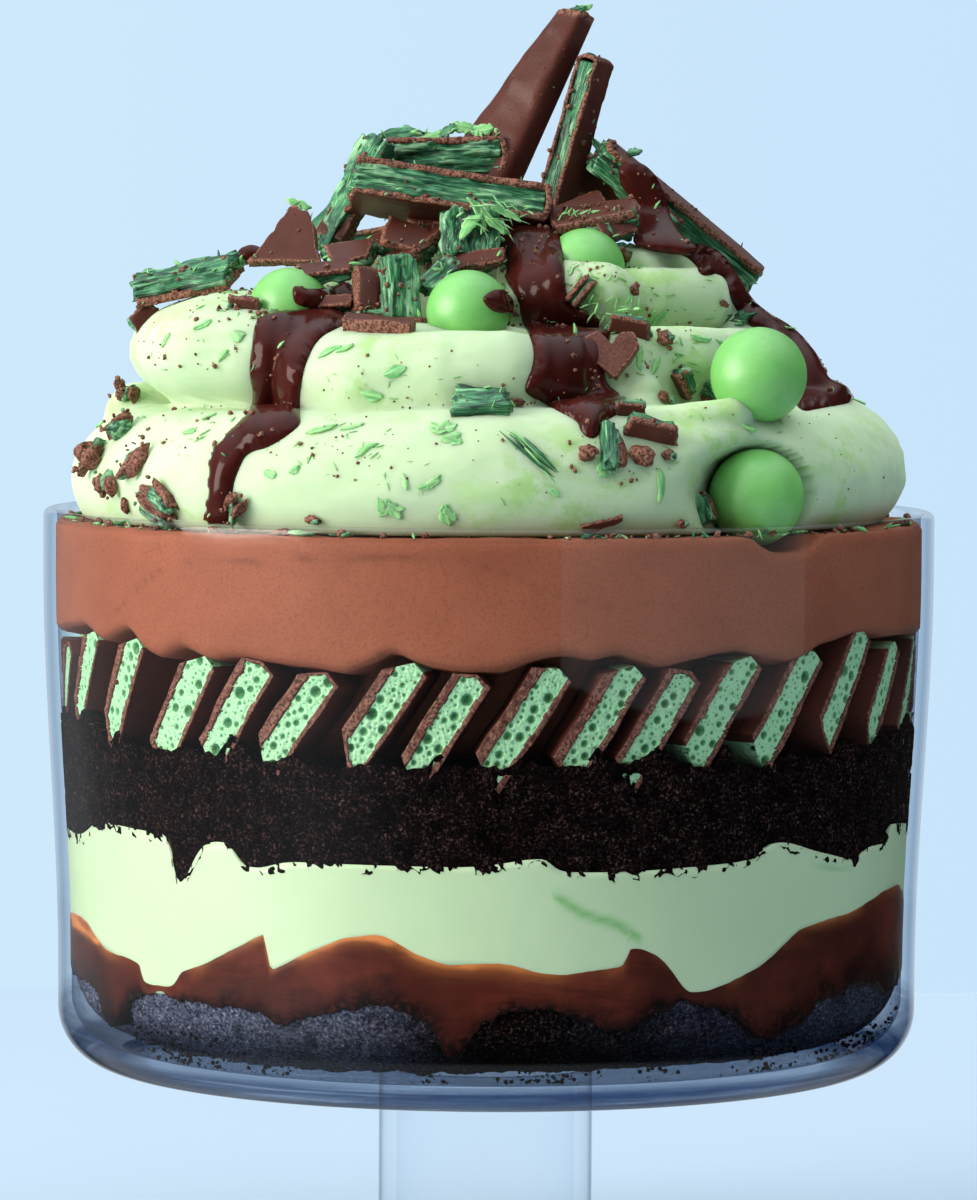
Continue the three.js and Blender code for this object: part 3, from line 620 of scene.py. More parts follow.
def caramel_material():
    n = Nodes("dark_caramel", Roughness=0.34, Specular_IOR_Level=0.08, Subsurface_Weight=0.15, Subsurface_Scale=0.003)
    n.set(n.bsdf, "Subsurface Radius", (1.0, 0.3, 0.1))
    cloud = n.noise(34, 4, 0.6)
    streak = n.noise(60, 4, 0.6, 0.6, vector=n.stretch((1, 1, 4.5)))
    fine = n.noise(700, 4, 0.65)
    c = n.ramp(cloud, [(0.3, lin(48, 17, 11)), (0.55, lin(74, 29, 20)), (0.75, lin(106, 46, 30))])
    # painted highlight: a warm gold glow mixed in along the caramel's top edge, on its left front and in a few short
    # glint lines
    c = n.mix(n.ramp(n.attr("painted_gold_highlight"), [(0.0, 0.0), (0.5, 0.22), (1.0, 0.9)]), c, lin(204, 124, 66))
    c = n.mix(n.ramp(streak, [(0.5, 0.0), (0.68, 0.5)]), c, lin(34, 14, 9))
    c = n.mix(n.math("MULTIPLY", n.attr("low"), n.ramp(fine, [(0.36, 0.35), (0.52, 1.0)])), c, lin(9, 5, 5))
    return n.use(Base_Color=c, Normal=n.bump(cloud, 0.2, 0.0015))


def line_mask(ang, z, path, width, soft=1.0):
    """1 along a path of (angle, height) places on the glass, falling to 0 at that width in mm."""
    p = np.stack([np.broadcast_to(ang, z.shape) * math.pi / 180 * 108, z], -1)
    q = np.array([(a * math.pi / 180 * 108, h) for a, h in path])
    best = np.full(z.shape, 1e9)
    for a, b in zip(q[:-1], q[1:]):
        d = b - a
        t = np.clip(((p - a) @ d) / (d @ d), 0, 1)
        best = np.minimum(best, np.linalg.norm(p - a - t[..., None] * d, axis=-1))
    return np.exp(-(best / width) ** 2) * soft


def make_fillings():
    # ---- crumb base: rough, dark, its lower edge stands a little off the glass floor
    ang = angles(0.45, 1.6)
    n = len(ang)
    top = edge(CRUMB_TOP, ang) + 1.6
    ragged = fbm(polar(108, ang, 0), 9, 4, 5) * 1.4 + fbm(polar(108, ang, 0), 1.6, 2, 6) * 0.9
    foot = 69.0 + ragged * 0.9 + 0.7 * np.sin(np.radians(ang * 2.3))
    side = rows(top, foot, 32)
    rings = [(np.full(n, float(r)), wave(CRUMB_TOP, ang, r)) for r in (40, 75, 95)] + [(inner_r(top) - 1.5, top)]
    # painted sheen: how strongly the pale grey-blue haze shows, strongest on the front left and weaker on the front
    # right
    painted_sheen_part = 1.0 * smooth(2, -32, turn(ang, 0)) * smooth(-130, -100, turn(ang, 0)) + 0.55 * smooth(4, 50, turn(ang, 0)) * smooth(130, 100, turn(ang, 0))
    pale = [painted_sheen_part] * len(rings)
    for i, z in enumerate(side):
        p = polar(108, ang, z)
        pore = np.maximum(0, fbm(p, 2.6, 3, 11) - 0.12) * 3.4 + np.maximum(0, fbm(p, 0.9, 2, 12)) * 0.5
        deep = np.clip(90.5 - z, 0, 21.5) / 21.5                # the corner of the glass is round
        corner = 16.0 * (1 - np.sqrt(1 - np.clip(deep, 0, 0.995) ** 2.3))
        rings.append((BOWL["base"] - BOWL["wall"] + 0.1 - pore - corner - 0.2, z))
        pale.append(painted_sheen_part * np.clip(0.75 + 0.6 * fbm(p, 12, 3, 14), 0, 1))
    z_low = foot - 0.6
    rings += [(np.full(n, 84.0) + 0.5 * ragged, z_low), (np.full(n, 78.0), 0 * ang + 67.6 + 0.3 * ragged), (np.full(n, 55.0), 0 * ang + 67.0)]
    pale += [painted_sheen_part] * 3
    v, f = rings_solid(rings, ang)
    base = mesh_from("cake_base_crumb", v, f, [cake_material("chocolate_crumb", True)], attrs={"pale": np.concatenate(pale + [[0.0, 0.0]])})
    ride(base, "cake_base", slot="cake")

    # crumbs lying against the round corner of the glass, in drifts
    r = rng(83)
    bodies = []
    for at, wide, count in ((-47, 13, 150), (-30, 7, 40), (-8, 5, 26), (9, 8, 110), (24, 4, 26), (43, 9, 80), (58, 6, 60), (66, 4, 40)) + tuple((d, 9, 26) for d in range(90, 265, 22)):
        for k in range(count):
            deg = at + wide * (r.random() + r.random() - 1)
            up = math.radians(22 + 58 * r.random() ** 1.3)
            size = 0.45 + 1.0 * r.random() ** 2
            rr, zz = 92.7 + 12 * math.sin(up) - 0.5 * size, 78 - 12 * math.cos(up) + 0.4 * size
            bodies.append(crumb(polar(rr, deg, zz), size, 8000 + len(bodies), GREEN, 0.8, 0))
    ob = pieces_object("loose_base_crumbs", bodies, [cake_material("loose_crumb")])
    ride(ob, slot="cake")

    # ---- caramel
    ang = angles(0.5, 1.8)
    n = len(ang)
    wobble = fbm(polar(108, ang, 0), 5, 3, 21) * 0.5
    top = edge(CARAMEL_TOP, ang) + wobble * 0.6
    low = edge(CRUMB_TOP, ang) + fbm(polar(108, ang, 0), 6, 4, 22) * 2.2 + fbm(polar(108, ang, 0), 1.5, 2, 23) * 0.8
    low = np.minimum(low, top - 1.5)
    side = rows(top, low, 24)
    rings = [(np.full(n, float(r)), wave(CARAMEL_TOP, ang, r)) for r in (40, 75, 95)] + [(inner_r(top) - 2.0, top + 0.2)]
    first = len(rings)
    painted_gold_highlight, lowness = [np.zeros(n)] * first, [np.zeros(n)] * first
    for i, z in enumerate(side):
        t = i / 23
        bulge = 0.45 * np.sin(math.pi * min(1, t * 6) / 2) - 0.45 + 0.3 - 0.4 * smooth(0.85, 1, t)
        rings.append((inner_r(z) + bulge, z))
        p = polar(108, ang, z)
        # painted gold highlight: strongest just under the top edge and wider in front, a band on the left front, and
        # three short glint lines
        mid_front = np.exp(-(turn(ang, -8) / 22) ** 2)
        near = np.exp(-((top - z) / (2.6 + 0.9 * mid_front)) ** 2) * smooth(0.0, 0.5, fbm(p * [1, 1, 0.6], 16, 2, 31) + 0.10 + 0.32 * mid_front)
        near = np.maximum(near, smooth(-66, -78, turn(ang, 0)) * smooth(-108, -96, turn(ang, 0)) * np.exp(-((top - z) / 4.0) ** 2))
        painted_gold_highlight.append(np.clip(near + 0.9 * line_mask(ang, z, [(-80, 97), (-74, 96.5), (-66, 95)], 1.3) + 0.8 * line_mask(ang, z, [(-23, 102.5), (-17, 104), (-13, 102)], 1.6)
                            + 0.5 * line_mask(ang, z, [(-9, 100), (-2, 97)], 1.5), 0, 1))
        lowness.append(smooth(0.50, 1.05, (top - z) / np.maximum(top - low, 4) + 0.25 * fbm(p, 7, 3, 33)))
    rings += [(np.full(n, float(r)), wave(CRUMB_TOP, ang, r) - 0.5) for r in (100, 75, 40)]
    painted_gold_highlight += [np.zeros(n)] * 3
    lowness += [np.ones(n)] * 3
    v, f = rings_solid(rings, ang)
    pad = [0.0, 0.0]
    car = mesh_from("caramel_sauce_layer", v, f, [caramel_material()], attrs={"painted_gold_highlight": np.concatenate(painted_gold_highlight + [pad]), "low": np.concatenate(lowness + [pad])})
    ride(car, "caramel", slot="caramel")

    # ---- custard
    ang = angles(0.6, 1.8)
    n = len(ang)
    top = edge(CAKE_UNDERSIDE, ang) + 1.8
    low = edge(CARAMEL_TOP, ang) - 2.0
    side = rows(top, low, 16)
    rings = [(np.full(n, float(r)), wave(CAKE_UNDERSIDE, ang, r)) for r in (40, 75, 95)]
    line = [np.zeros(n)] * len(rings)
    for z in side:
        rings.append((inner_r(z) + 0.12 + 0.06 * fbm(polar(108, ang, z), 12, 2, 41), z))
        m = line_mask(ang, z, [(9.2, 112.5), (12.5, 108.5), (17, 106), (20, 102.5)], 1.1, 0.9) + line_mask(ang, z, [(47.5, 118), (52, 116), (57.5, 115.2)], 0.45, 0.5)
        line.append(np.clip(m, 0, 1))
    rings += [(np.full(n, float(r)), wave(CARAMEL_TOP, ang, r)) for r in (95, 75, 40)]
    line += [np.zeros(n)] * 3
    v, f = rings_solid(rings, ang)
    cus = mesh_from("mint_custard_layer", v, f, [custard_material()], attrs={"line": np.concatenate(line + [pad])})
    ride(cus, "custard", slot="custard")

    # ---- cake under the bars
    ang = angles(0.42, 1.6)
    n = len(ang)
    low = edge(CAKE_UNDERSIDE, ang) + fbm(polar(108, ang, 0), 5, 4, 51) * 1.3 + fbm(polar(108, ang, 0), 1.3, 2, 52) * 0.9
    top = cake_top(ang) + fbm(polar(108, ang, 0), 6, 3, 53) * 1.3 + fbm(polar(108, ang, 0), 1.6, 2, 58) * 0.8
    lift = rng(59)
    for b in BARS:
        top = top + lift.uniform(1.5, 5.5) * np.exp(-(turn(ang, b["deg"] + 0.3 + lift.uniform(-0.6, 0.6)) / lift.uniform(1.1, 1.8)) ** 2)
    heap = top - cake_top(ang)
    side = rows(top, low, 40)
    rings = [(np.full(n, float(r)), 0 * ang + CAKE_TOP) for r in (40, 75)]
    for r in np.linspace(88, 106, 10):
        p = polar(r, ang, 143)
        rings.append((np.full(n, float(r)), cake_top(ang) + fbm(p, 5, 4, 54) * 1.8 - 1.0 + (heap + 0.6) * smooth(96, 106, r)))
    for i, z in enumerate(side):
        p = polar(108, ang, z)
        pore = np.maximum(0, fbm(p, 3.0, 3, 55) - 0.1) * 3.6 + np.maximum(0, fbm(p, 0.9, 2, 56)) * 0.5
        rings.append((inner_r(z) + 0.28 - pore - 1.0 * smooth(0.88, 1.0, i / 39) * (fbm(p, 2, 2, 57) > 0.1), z))
    rings += [(np.full(n, float(r)), wave(CAKE_UNDERSIDE, ang, r)) for r in (100, 75, 40)]
    v, f = rings_solid(rings, ang)
    cake = mesh_from("cake_mid_crumb", v, f, [cake_material("chocolate_cake")])
    ride(cake, "cake_mid", slot="cake")

    # ---- mousse
    ang = angles(0.6, 1.8)
    n = len(ang)
    low = mousse_edge(ang) + 0.2 * fbm(polar(108, ang, 0), 4, 2, 61)
    dip = 4.2 * np.exp(-(turn(ang, 42) / 5.4) ** 4)
    rim = MOUSSE_TOP + 0.5 * fbm(polar(108, ang, 0), 10, 3, 62) - dip
    side = rows(rim, low, 20)
    rings, line = [], []
    for r in (50, 80):
        rings.append((np.full(n, float(r)), 0 * ang + MOUSSE_TOP))
    for r in (96, 101, 104.5, 107):
        rings.append((np.full(n, float(r)), MOUSSE_TOP + 0.6 * fbm(polar(r, ang, 0), 7, 3, 63) - dip))
    line += [np.zeros(n)] * len(rings)
    for i, z in enumerate(side):
        p = polar(108, ang, z)
        rings.append((inner_r(z) + 0.3 - 0.9 * (i == 0) - 1.2 * smooth(0.94, 1.0, i / 19), z))
        # painted shade in the mousse's creases at the glass: where the fold lines are darkened
        m = 0.42 * line_mask(ang, z, [(-57, 176), (-53, 181), (-46, 188.5), (-40, 190.5), (-32, 191), (-22, 192.5), (-4, 193.2)], 0.32)
        m = m + 0.22 * line_mask(ang, z, [(-47, 194), (-45, 190), (-44, 188)], 0.3) + 0.22 * line_mask(ang, z, [(-4, 193.2), (4, 188), (9, 184), (16, 181)], 0.35)
        line.append(np.clip(m, 0, 1))
    for r, dz in ((106, -0.4), (102, -1.0), (96, -1.5), (92, -1.6)):
        rings.append((np.full(n, float(r)), mousse_edge(ang) + dz + 0.4 * fbm(polar(r, ang, 0), 5, 2, 64)))
    for t in (0.3, 0.65, 1.0):
        rings.append((np.full(n, 91.5 - 0.6 * t), (mousse_edge(ang) - 1.8) * (1 - t) + (CAKE_TOP + 0.6) * t))
    rings.append((np.full(n, 60.0), 0 * ang + CAKE_TOP + 0.6))
    line += [np.zeros(n)] * 8
    v, f = rings_solid(rings, ang)
    mou = mesh_from("chocolate_mousse_layer", v, f, [mousse_material()], attrs={"line": np.concatenate(line + [pad])})
    ride(mou, "mousse", slot="mousse")


# ================================================================ mint bars
def foam_material(name, light_c, mid_c, dark_c):
    n = Nodes(name, Roughness=0.45, Specular_IOR_Level=0.3, Subsurface_Weight=0.12, Subsurface_Scale=0.0012)
    n.set(n.bsdf, "Subsurface Radius", (0.5, 1.0, 0.5))
    pit = n.attr("pit")                         # 0.5 at a bubble's edge, more inside it
    tiny = n.voronoi(1050)
    cloud = n.noise(170, 3, 0.6)
    c = n.mix(cloud, light_c, mid_c)
    # painted shade: tiny dark dots for small pores in shade
    c = n.mix(n.ramp(tiny, [(0.10, 0.7), (0.22, 0.0)]), c, dark_c)
    # painted highlight: a pale ring at each bubble's lip
    c = n.mix(n.ramp(pit, [(0.40, 0.0), (0.49, 0.35), (0.5, 0.0)]), c, light_c)
    # darker inside each bubble: painted shade in the hollow, together with the darker green of its thin walls
    c = n.mix(n.ramp(pit, [(0.49, 0.0), (0.54, 0.7), (0.9, 0.95)]), c, n.ramp(pit, [(0.5, tuple(x * 1.4 for x in dark_c)), (0.8, tuple(x * 0.8 for x in dark_c))]))
    return n.use(Base_Color=c, Normal=n.bump(tiny, 0.6, 0.0005))


def coat_material(name="milk_chocolate_coat", dark=lin(72, 33, 26), pale=lin(98, 51, 41), shine=0.42):
    n = Nodes(name, Roughness=shine, Specular_IOR_Level=0.22)
    cloud, grain = n.noise(60, 3, 0.55), n.noise(1500, 3, 0.6)
    soft = n.noise(150, 3, 0.5)
    crumbly = n.attr("rough")
    c = n.ramp(cloud, [(0.3, dark), (0.7, pale)])
    c = n.mix(n.math("MULTIPLY", n.ramp(crumbly, [(0.2, 0.0), (0.75, 1.0)]), n.ramp(grain, [(0.42, 0.15), (0.60, 0.85)])), c, lin(158, 108, 86))
    c = n.mix(n.math("MULTIPLY", n.ramp(crumbly, [(0.3, 0.0), (0.8, 0.8)]), n.ramp(grain, [(0.36, 1.0), (0.46, 0.0)])), c, lin(46, 22, 17))
    fine = n.bump(n.math("MULTIPLY", grain, n.math("MULTIPLY_ADD", crumbly, 1.0, 0.08)), 0.7, 0.0007)
    return n.use(Base_Color=c, Normal=n.bump(soft, 0.10, 0.0012, fine))


def bar_mesh(b, index, fine, mats):
    """One slice: pale foam full of round bubbles between thin coats, cut square through, its face bent to the glass."""
    rnd = rng(700 + index)
    h, t = b["length"] / 2, b["thick"] / 2
    step = 0.30 if fine else 0.8
    na, npp = int(2 * h / step) + 1, int(2 * t / step) + 1
    u, w = np.meshgrid(np.linspace(-1, 1, na), np.linspace(-1, 1, npp), indexing="ij")
    # outline: chamfered lower end at the upper-left face and upper end at the same face
    p = w * t
    low = np.where(p > -0.1 * t, -h + b["low"] * (0.3 + 0.7 * (p + 0.1 * t) / (1.1 * t)), -h + 0.3 * b["low"] * (1 + (p + 0.1 * t) / (0.9 * t)))
    high = np.where(p > -0.1 * t, h - b["top"] * (p + 0.1 * t) / (1.1 * t), h - 1 * (-0.1 * t - p) / (0.9 * t))
    a = low + (high - low) * (u + 1) / 2
    wob = 0.28
    p = p + wob * noise(np.stack([a, w * 0, p * 0 + index * 9], -1), 7, 70 + index) * np.abs(w)
    coat_up = 1.25 + 0.5 * rnd.random() + (1.0 if index in (4, 5, 6, 7, 8) else 0.2)      # upper-left coat
    coat_low = 1.0 + 0.3 * rnd.random()
    end_low = (0.9 + 0.6 * rnd.random()) if index in (0, 1, 2, 5, 8, 12, 13, 14) or index > 14 and rnd.random() < 0.5 else -1.0
    end_top = 0.9 if index in (4, 6, 9, 3) or index > 14 and rnd.random() < 0.5 else -1.0
    ragged = 0.35 * noise(np.stack([a, p, p * 0 + index], -1), 1.6, 5)
    d_up, d_low = t - p + ragged, p + t + ragged
    d_end = np.minimum(np.where(end_low > 0, a - low + ragged - end_low, 9), np.where(end_top > 0, high - a + ragged - end_top, 9))
    foam = np.minimum(np.minimum(d_up - coat_up, d_low - coat_low), d_end)
    is_foam = foam > 0
    # bubbles: how far inside the nearest one, in mm, and how deep it goes
    inside, sink = np.full(a.shape, -0.6), np.zeros_like(a)
    made = []
    for r0, tries in ((1.35, 3), (0.98, 10), (0.68, 26), (0.46, 60), (0.31, 150)) if fine else ((1.2, 8), (0.8, 40)):
        for k in range(tries):
            r = r0 * rnd.uniform(0.75, 1.2)
            ca, cp = rnd.uniform(-h, h), rnd.uniform(-t + coat_low + r * 0.7, t - coat_up - r * 0.7)
            if any((ca - x) ** 2 + (cp - y) ** 2 < (r + q + 0.22) ** 2 for x, y, q in made):
                continue
            made.append((ca, cp, r))
            d = np.hypot(a - ca, (p - cp) * 1.06)
            inside = np.maximum(inside, r - d)
            sink = np.maximum(sink, np.sqrt(np.maximum(0, r * r - d * d)) * 0.85)
    inside = np.where(foam > -0.1, inside, -0.6)
    sink = sink * smooth(0.0, 0.3, foam)
    pit = np.clip(0.5 + inside * 0.5, 0, 1)
    rough = np.clip(noise(np.stack([a, p, p * 0 + 3 * index], -1), 1.1, 9) * 0.5 + 0.7, 0, 1) * (1 - is_foam)
    depth = 0.25 + 0.25 * is_foam + sink + 0.10 * noise(np.stack([a, p, p * 0], -1), 0.9, 77) - 0.25 * (~is_foam) * rough
    c, s = math.cos(math.radians(b["lean"])), math.sin(math.radians(b["lean"]))
    x, z = a * c - p * s, b["z"] + a * s + p * c
    back_x, back_z = x.copy(), z.copy()
    R = float(inner_r(155.0))

    def at(xx, zz, inward):
        deg = b["deg"] + np.degrees(xx / R)
        pt = polar(inner_r(zz) - 0.0, deg, zz)
        return pt - polar(inward, b["deg"], 0)
    front = at(x, z, 0.35 + depth)
    layers_in = np.linspace(0.9, BAR["depth"], 6 if fine else 4)
    per = np.concatenate([np.arange(na) * npp, (na - 1) * npp + np.arange(1, npp), np.arange(na - 2, -1, -1) * npp + npp - 1, np.arange(npp - 2, 0, -1)])
    m = len(per)
    verts, faces, attr_pit, attr_rough = [front.reshape(-1, 3)], [], [pit.ravel()], [rough.ravel()]
    faces.append(grid(na, npp, flip=False))
    fmat = [np.where(is_foam[:-1, :-1] & is_foam[1:, 1:], 0, 1).ravel()]
    prev = per
    n0 = na * npp
    per_a, per_p = a.ravel()[per], p.ravel()[per]
    ring_foam = is_foam.ravel()[per]
    for li, inward in enumerate(layers_in):
        jag = 0.25 * noise(np.stack([per_a, per_p, per_a * 0 + inward], -1), 3.0, 90 + index)
        pts = at(x.ravel()[per], z.ravel()[per], inward + 0 * per_a)
        out = np.stack([np.cos(0 * per_a) * 0, 0 * per_a, 0 * per_a], -1)
        verts.append(pts + out)
        attr_pit.append(np.zeros(m))
        attr_rough.append(np.full(m, 0.25))
        ids = n0 + li * m + np.arange(m)
        nxt = np.roll(np.arange(m), -1)
        faces.append(np.stack([prev, ids, ids[nxt], prev[nxt]], -1))
        fmat.append(np.where(ring_foam & ring_foam[nxt], 0, 1))
        prev = ids
    centre = len(np.concatenate(verts))
    back = np.concatenate(verts)[prev].mean(0, keepdims=True)
    verts.append(back)
    attr_pit.append([0.0])
    attr_rough.append([0.25])
    nxt = np.roll(np.arange(m), -1)
    faces.append(np.stack([prev[nxt], prev, np.full(m, centre)], -1))
    fmat.append(np.ones(m))
    v = np.concatenate(verts)
    name = f"mint_bar_{index + 1:02d}"
    ob = mesh_from(name + "_slice", v, faces, mats, np.concatenate(fmat), attrs={"pit": np.concatenate(attr_pit), "rough": np.concatenate(attr_rough)})
    return ride(ob, name, slot="mint_bar")


def make_bars():
    mats = (foam_material("mint_foam", lin(180, 224, 174), lin(150, 204, 150), lin(58, 126, 72)), coat_material("bar_coat"))
    for i, b in enumerate(BARS):
        bar_mesh(b, i, i < 15, mats)


# ================================================================ whipped cream
EYE = 198.0
FOOT = 197.6
# rounds: centre x, y, z, ring radius, half width, half height, tilt to +X, tilt to -Y, folds (angle, slope deg/mm, width, depth)
ROUNDS = [
    (0, 0, 208.5, 83, 21.5, 18.5, 1.5, 0, [(-40, -0.2, 4.0, 0.03), (12, -0.5, 5, 0.02), (75, 0.3, 8, 0.03), (120, 0.4, 5, 0.08), (175, -0.4, 6, 0.08), (235, 0.5, 5, 0.09)]),
    (-9, 1, 234.5, 52, 28, 13.5, -3.2, -1.0, [(-33, 0.2, 5, 0.16), (24, 0.3, 5, 0.10), (62, 0.1, 6, 0.08), (140, 0.3, 6, 0.1), (205, -0.3, 7, 0.12), (262, 0.3, 6, 0.1)])]
DOLLOPS = [(0, 0, 200, 88, 88, 45), (27, -4, 246, 28, 30, 15), (-14, 2, 247, 42, 36, 18), (-62, -22, 240, 27, 36, 15)]
# rolls: blend, then places along it (x, y, z, radius)
ROLLS = [
    (2.4, [(-41, -63, 231.5, 8), (-30, -69, 232.5, 10.8), (-12, -71.5, 233.5, 11.3), (3, -70, 234.5, 10.8), (14, -66, 235.2, 8.5)]),
    (1.8, [(22, -34, 251.5, 7.5), (38, -34, 252.3, 8.2), (51, -25, 252.8, 8.4), (54, -12, 253, 8)]),
    (1.5, [(26, -24, 259.5, 5.5), (38, -24, 260.5, 5.8), (47, -18, 259, 5.2), (50, -10, 258, 5)]),
    (0.8, [(43, -21, 262, 3.4), (43.5, -21, 265.2, 1.2)]),
    (0.8, [(35, -23, 262, 3.6), (34.5, -24, 266, 1.0)]),
    (2.2, [(17.5, -40, 255.2, 7.6), (28, -42, 254.8, 7.4)]),
    (2.2, [(16, -58, 234, 9.5), (32, -55, 237, 9.6), (47, -48, 238, 9.0), (58, -38, 238, 8.8), (63, -26, 238, 9)]),
    (1.2, [(36.5, -64, 225, 7.0), (36.5, -63, 231, 4.6), (36.6, -62, 236.5, 1.4)]),
    (1.6, [(34, -76, 221.5, 5.0), (48, -76, 223.5, 5.6), (58, -73, 226.0, 4.2), (65, -69, 229.2, 1.7)]),
    (2.0, [(30, -80, 220, 7), (46, -80, 214, 9.5), (50, -76, 207, 11)]),
    (3.5, [(60, -12, 238, 12.3), (68.5, -12, 232, 12), (74.5, -13, 226, 12), (80, -14, 219.5, 11.5)]),
    (3.0, [(9.5, -27, 262, 7.5), (11.5, -37, 250, 10)]),
    (2.0, [(-88, 10, 222, 9), (-60, 66, 222, 10), (-30, 84, 221, 8)]),
    (2.0, [(20, 62, 238, 11), (48, 44, 239, 11), (62, 20, 238, 9)]),
    (2.0, [(-50, 40, 243, 12), (-20, 52, 246, 12), (4, 50, 246, 9)])]
# the hollow that the lowest sweet sits in: two ends and their radii
HOLLOW = ((64.4, -71, 206.2, 12.0), (62, -104, 206.6, 17.5))


def capsule(p, a, b):
    a, b = np.asarray(a, float), np.asarray(b, float)
    ab = b[:3] - a[:3]
    t = np.clip(((p - a[:3]) @ ab) / (ab @ ab), 0, 1)
    return np.linalg.norm(p - a[:3] - t[..., None] * ab, axis=-1) - (a[3] + (b[3] - a[3]) * t)


def cream_field(p, blend=3.2):
    """Roughly the distance from the cream's surface, below zero inside it."""
    x, y, z = p[..., 0], p[..., 1], p[..., 2]
    near = None

    def join(near, d, blend=blend):
        if near is None:
            return d
        h = np.maximum(blend - np.abs(near - d), 0) / blend
        return np.minimum(near, d) - h * h * blend / 4
    for cx, cy, cz, R, w, h, tx, ty, folds in ROUNDS:
        dx, dy = x - cx, y - cy
        r = np.hypot(dx, dy)
        lift = cz + (tx * dx - ty * dy) / R
        deg = np.degrees(np.arctan2(dx, -dy))
        f = 1.0
        for at, slope, wide, depth in folds:
            f = f - depth * np.exp(-(turn(deg, at + slope * (z - cz)) / wide) ** 2)
        near = join(near, (np.hypot((r - R) / (w * f), (z - lift) / (h * (0.5 + 0.5 * f))) - 1) * min(w, h))
    for cx, cy, cz, a, b, c in DOLLOPS:
        near = join(near, (np.sqrt(((x - cx) / a) ** 2 + ((y - cy) / b) ** 2 + ((z - cz) / c) ** 2) - 1) * min(a, b, c))
    for k, line in ROLLS:
        d = None
        for a, b in zip(line[:-1], line[1:]):
            c = capsule(p, a, b)
            d = c if d is None else np.minimum(d, c)
        near = join(near, d, k)
    cut = -capsule(p, *HOLLOW)
    h = np.maximum(5.0 - np.abs(near - cut), 0) / 5.0
    return np.maximum(near, cut) + h * h * 1.25


def cream_ripple(p):
    """Small unevenness of spooned cream, in mm."""
    return 0.9 * noise(p, 30, 101) + 0.42 * noise(p * [1, 1, 1.6], 11, 102) + 0.16 * noise(p * [1, 1, 2.2], 4.5, 103) + 0.05 * noise(p, 1.7, 104)


def cream_skin(p):
    return cream_field(p) - cream_ripple(p) * smooth(0, 12, p[..., 2] - EYE)


def cream_normal(p):
    e = 0.4
    g = [cream_field(p + np.eye(3)[i] * e) - cream_field(p - np.eye(3)[i] * e) for i in range(3)]
    return unit(np.stack(g, -1))


def onto_cream(p):
    """The nearest place on the cream."""
    p = np.asarray(p, float)
    for _ in range(6):
        p = p - cream_normal(p) * (cream_skin(p) * 0.8)[..., None]
    return p


def cream_reach(d, eye=np.array([0, 0, EYE])):
    """How far the cream reaches from its eye along unit directions d."""
    far = np.full(d.shape[:-1], 150.0)
    for _ in range(40):
        far = far - np.maximum(cream_field(eye + far[..., None] * d) * 0.85, -0.02)
    for _ in range(6):
        far = far - np.clip(cream_skin(eye + far[..., None] * d), -0.8, 0.8) * 0.8
    return far


def on_cream(x, y):
    """Where the camera's line through a place in the picture meets the cream, or passes nearest to it."""
    o, d = sight(x, y)
    t = np.full(np.shape(x), 1480.0)
    best, at = np.full(np.shape(x), 1e9), t.copy()
    for _ in range(70):
        f = cream_field(o + t[..., None] * d)
        at = np.where(f < best, t, at)
        best = np.minimum(best, f)
        t = t + np.maximum(f * 0.8, 0.02) * (f > 0.02)
        t = np.minimum(t, 1760.0)
    return onto_cream(o + at[..., None] * d)


def in_view(x, y, depth):
    """The point at that Y, in mm, on the camera's line through a place in the picture."""
    o, d = sight(x, y)
    return o + d * ((depth - o[1]) / d[1])


def cream_material():
    n = Nodes("whipped_mint_cream", Roughness=0.62, Specular_IOR_Level=0.12, Subsurface_Weight=0.6, Subsurface_Scale=0.009)
    n.set(n.bsdf, "Subsurface Radius", (0.85, 1.0, 0.6))
    cloud, fine = n.noise(34, 4, 0.6), n.noise(420, 4, 0.6)
    dust, smear = n.noise(130, 5, 0.68), n.noise(70, 3, 0.6, 0.8, vector=n.stretch((1, 1, 1.8)))
    c = n.ramp(cloud, [(0.3, lin(182, 203, 162)), (0.7, lin(189, 209, 170))])
    c = n.mix(n.math("MULTIPLY", n.attr("dust"), n.ramp(dust, [(0.49, 0.0), (0.60, 0.75)])), c, lin(158, 196, 118))
    c = n.mix(n.math("MULTIPLY", n.attr("dust"), n.ramp(smear, [(0.52, 0.0), (0.66, 0.55)])), c, lin(166, 202, 128))
    return n.use(Base_Color=c, Normal=n.bump(fine, 0.12, 0.0006, n.bump(cloud, 0.2, 0.002)))


def make_cream():
    ang = np.concatenate([np.arange(-100, 100, 0.66), np.arange(100, 260, 2.0)])
    n, m = len(ang), 164
    up = np.pi / 2 * (np.arange(m) / m) ** 0.92
    a, u = np.meshgrid(ang, up)
    d = polar(np.cos(u), a, np.sin(u))
    far = cream_reach(d)
    p = np.array([0, 0, EYE]) + far[..., None] * d
    top = np.array([0, 0, 1.0])
    peak = np.array([[0, 0, EYE + float(cream_reach(top[None])[0])]])
    v = [p.reshape(-1, 3), peak]
    faces = [grid(m, n, wrap=True, flip=True)]
    k = np.arange(n)
    j = (k + 1) % n
    last = (m - 1) * n
    faces.append(np.stack([last + k, last + j, np.full(n, m * n)], -1))
    low = m * n + 1
    under = p[0] * [0.985, 0.985, 0] + [0, 0, FOOT]
    v += [under, np.array([[0, 0, FOOT]])]
    faces.append(np.stack([k, low + k, low + j, j], -1))
    faces.append(np.stack([np.full(n, low + n), low + j, low + k], -1))
    v = np.concatenate(v)
    dust = smooth(-0.15, 0.35, fbm(v, 26, 3, 111) + 0.4 * smooth(215, 265, v[:, 2]) - 0.05)
    ob = mesh_from("whipped_cream_mound", v, faces, [cream_material()], attrs={"dust": dust})
    return ride(ob, "cream", slot="cream")


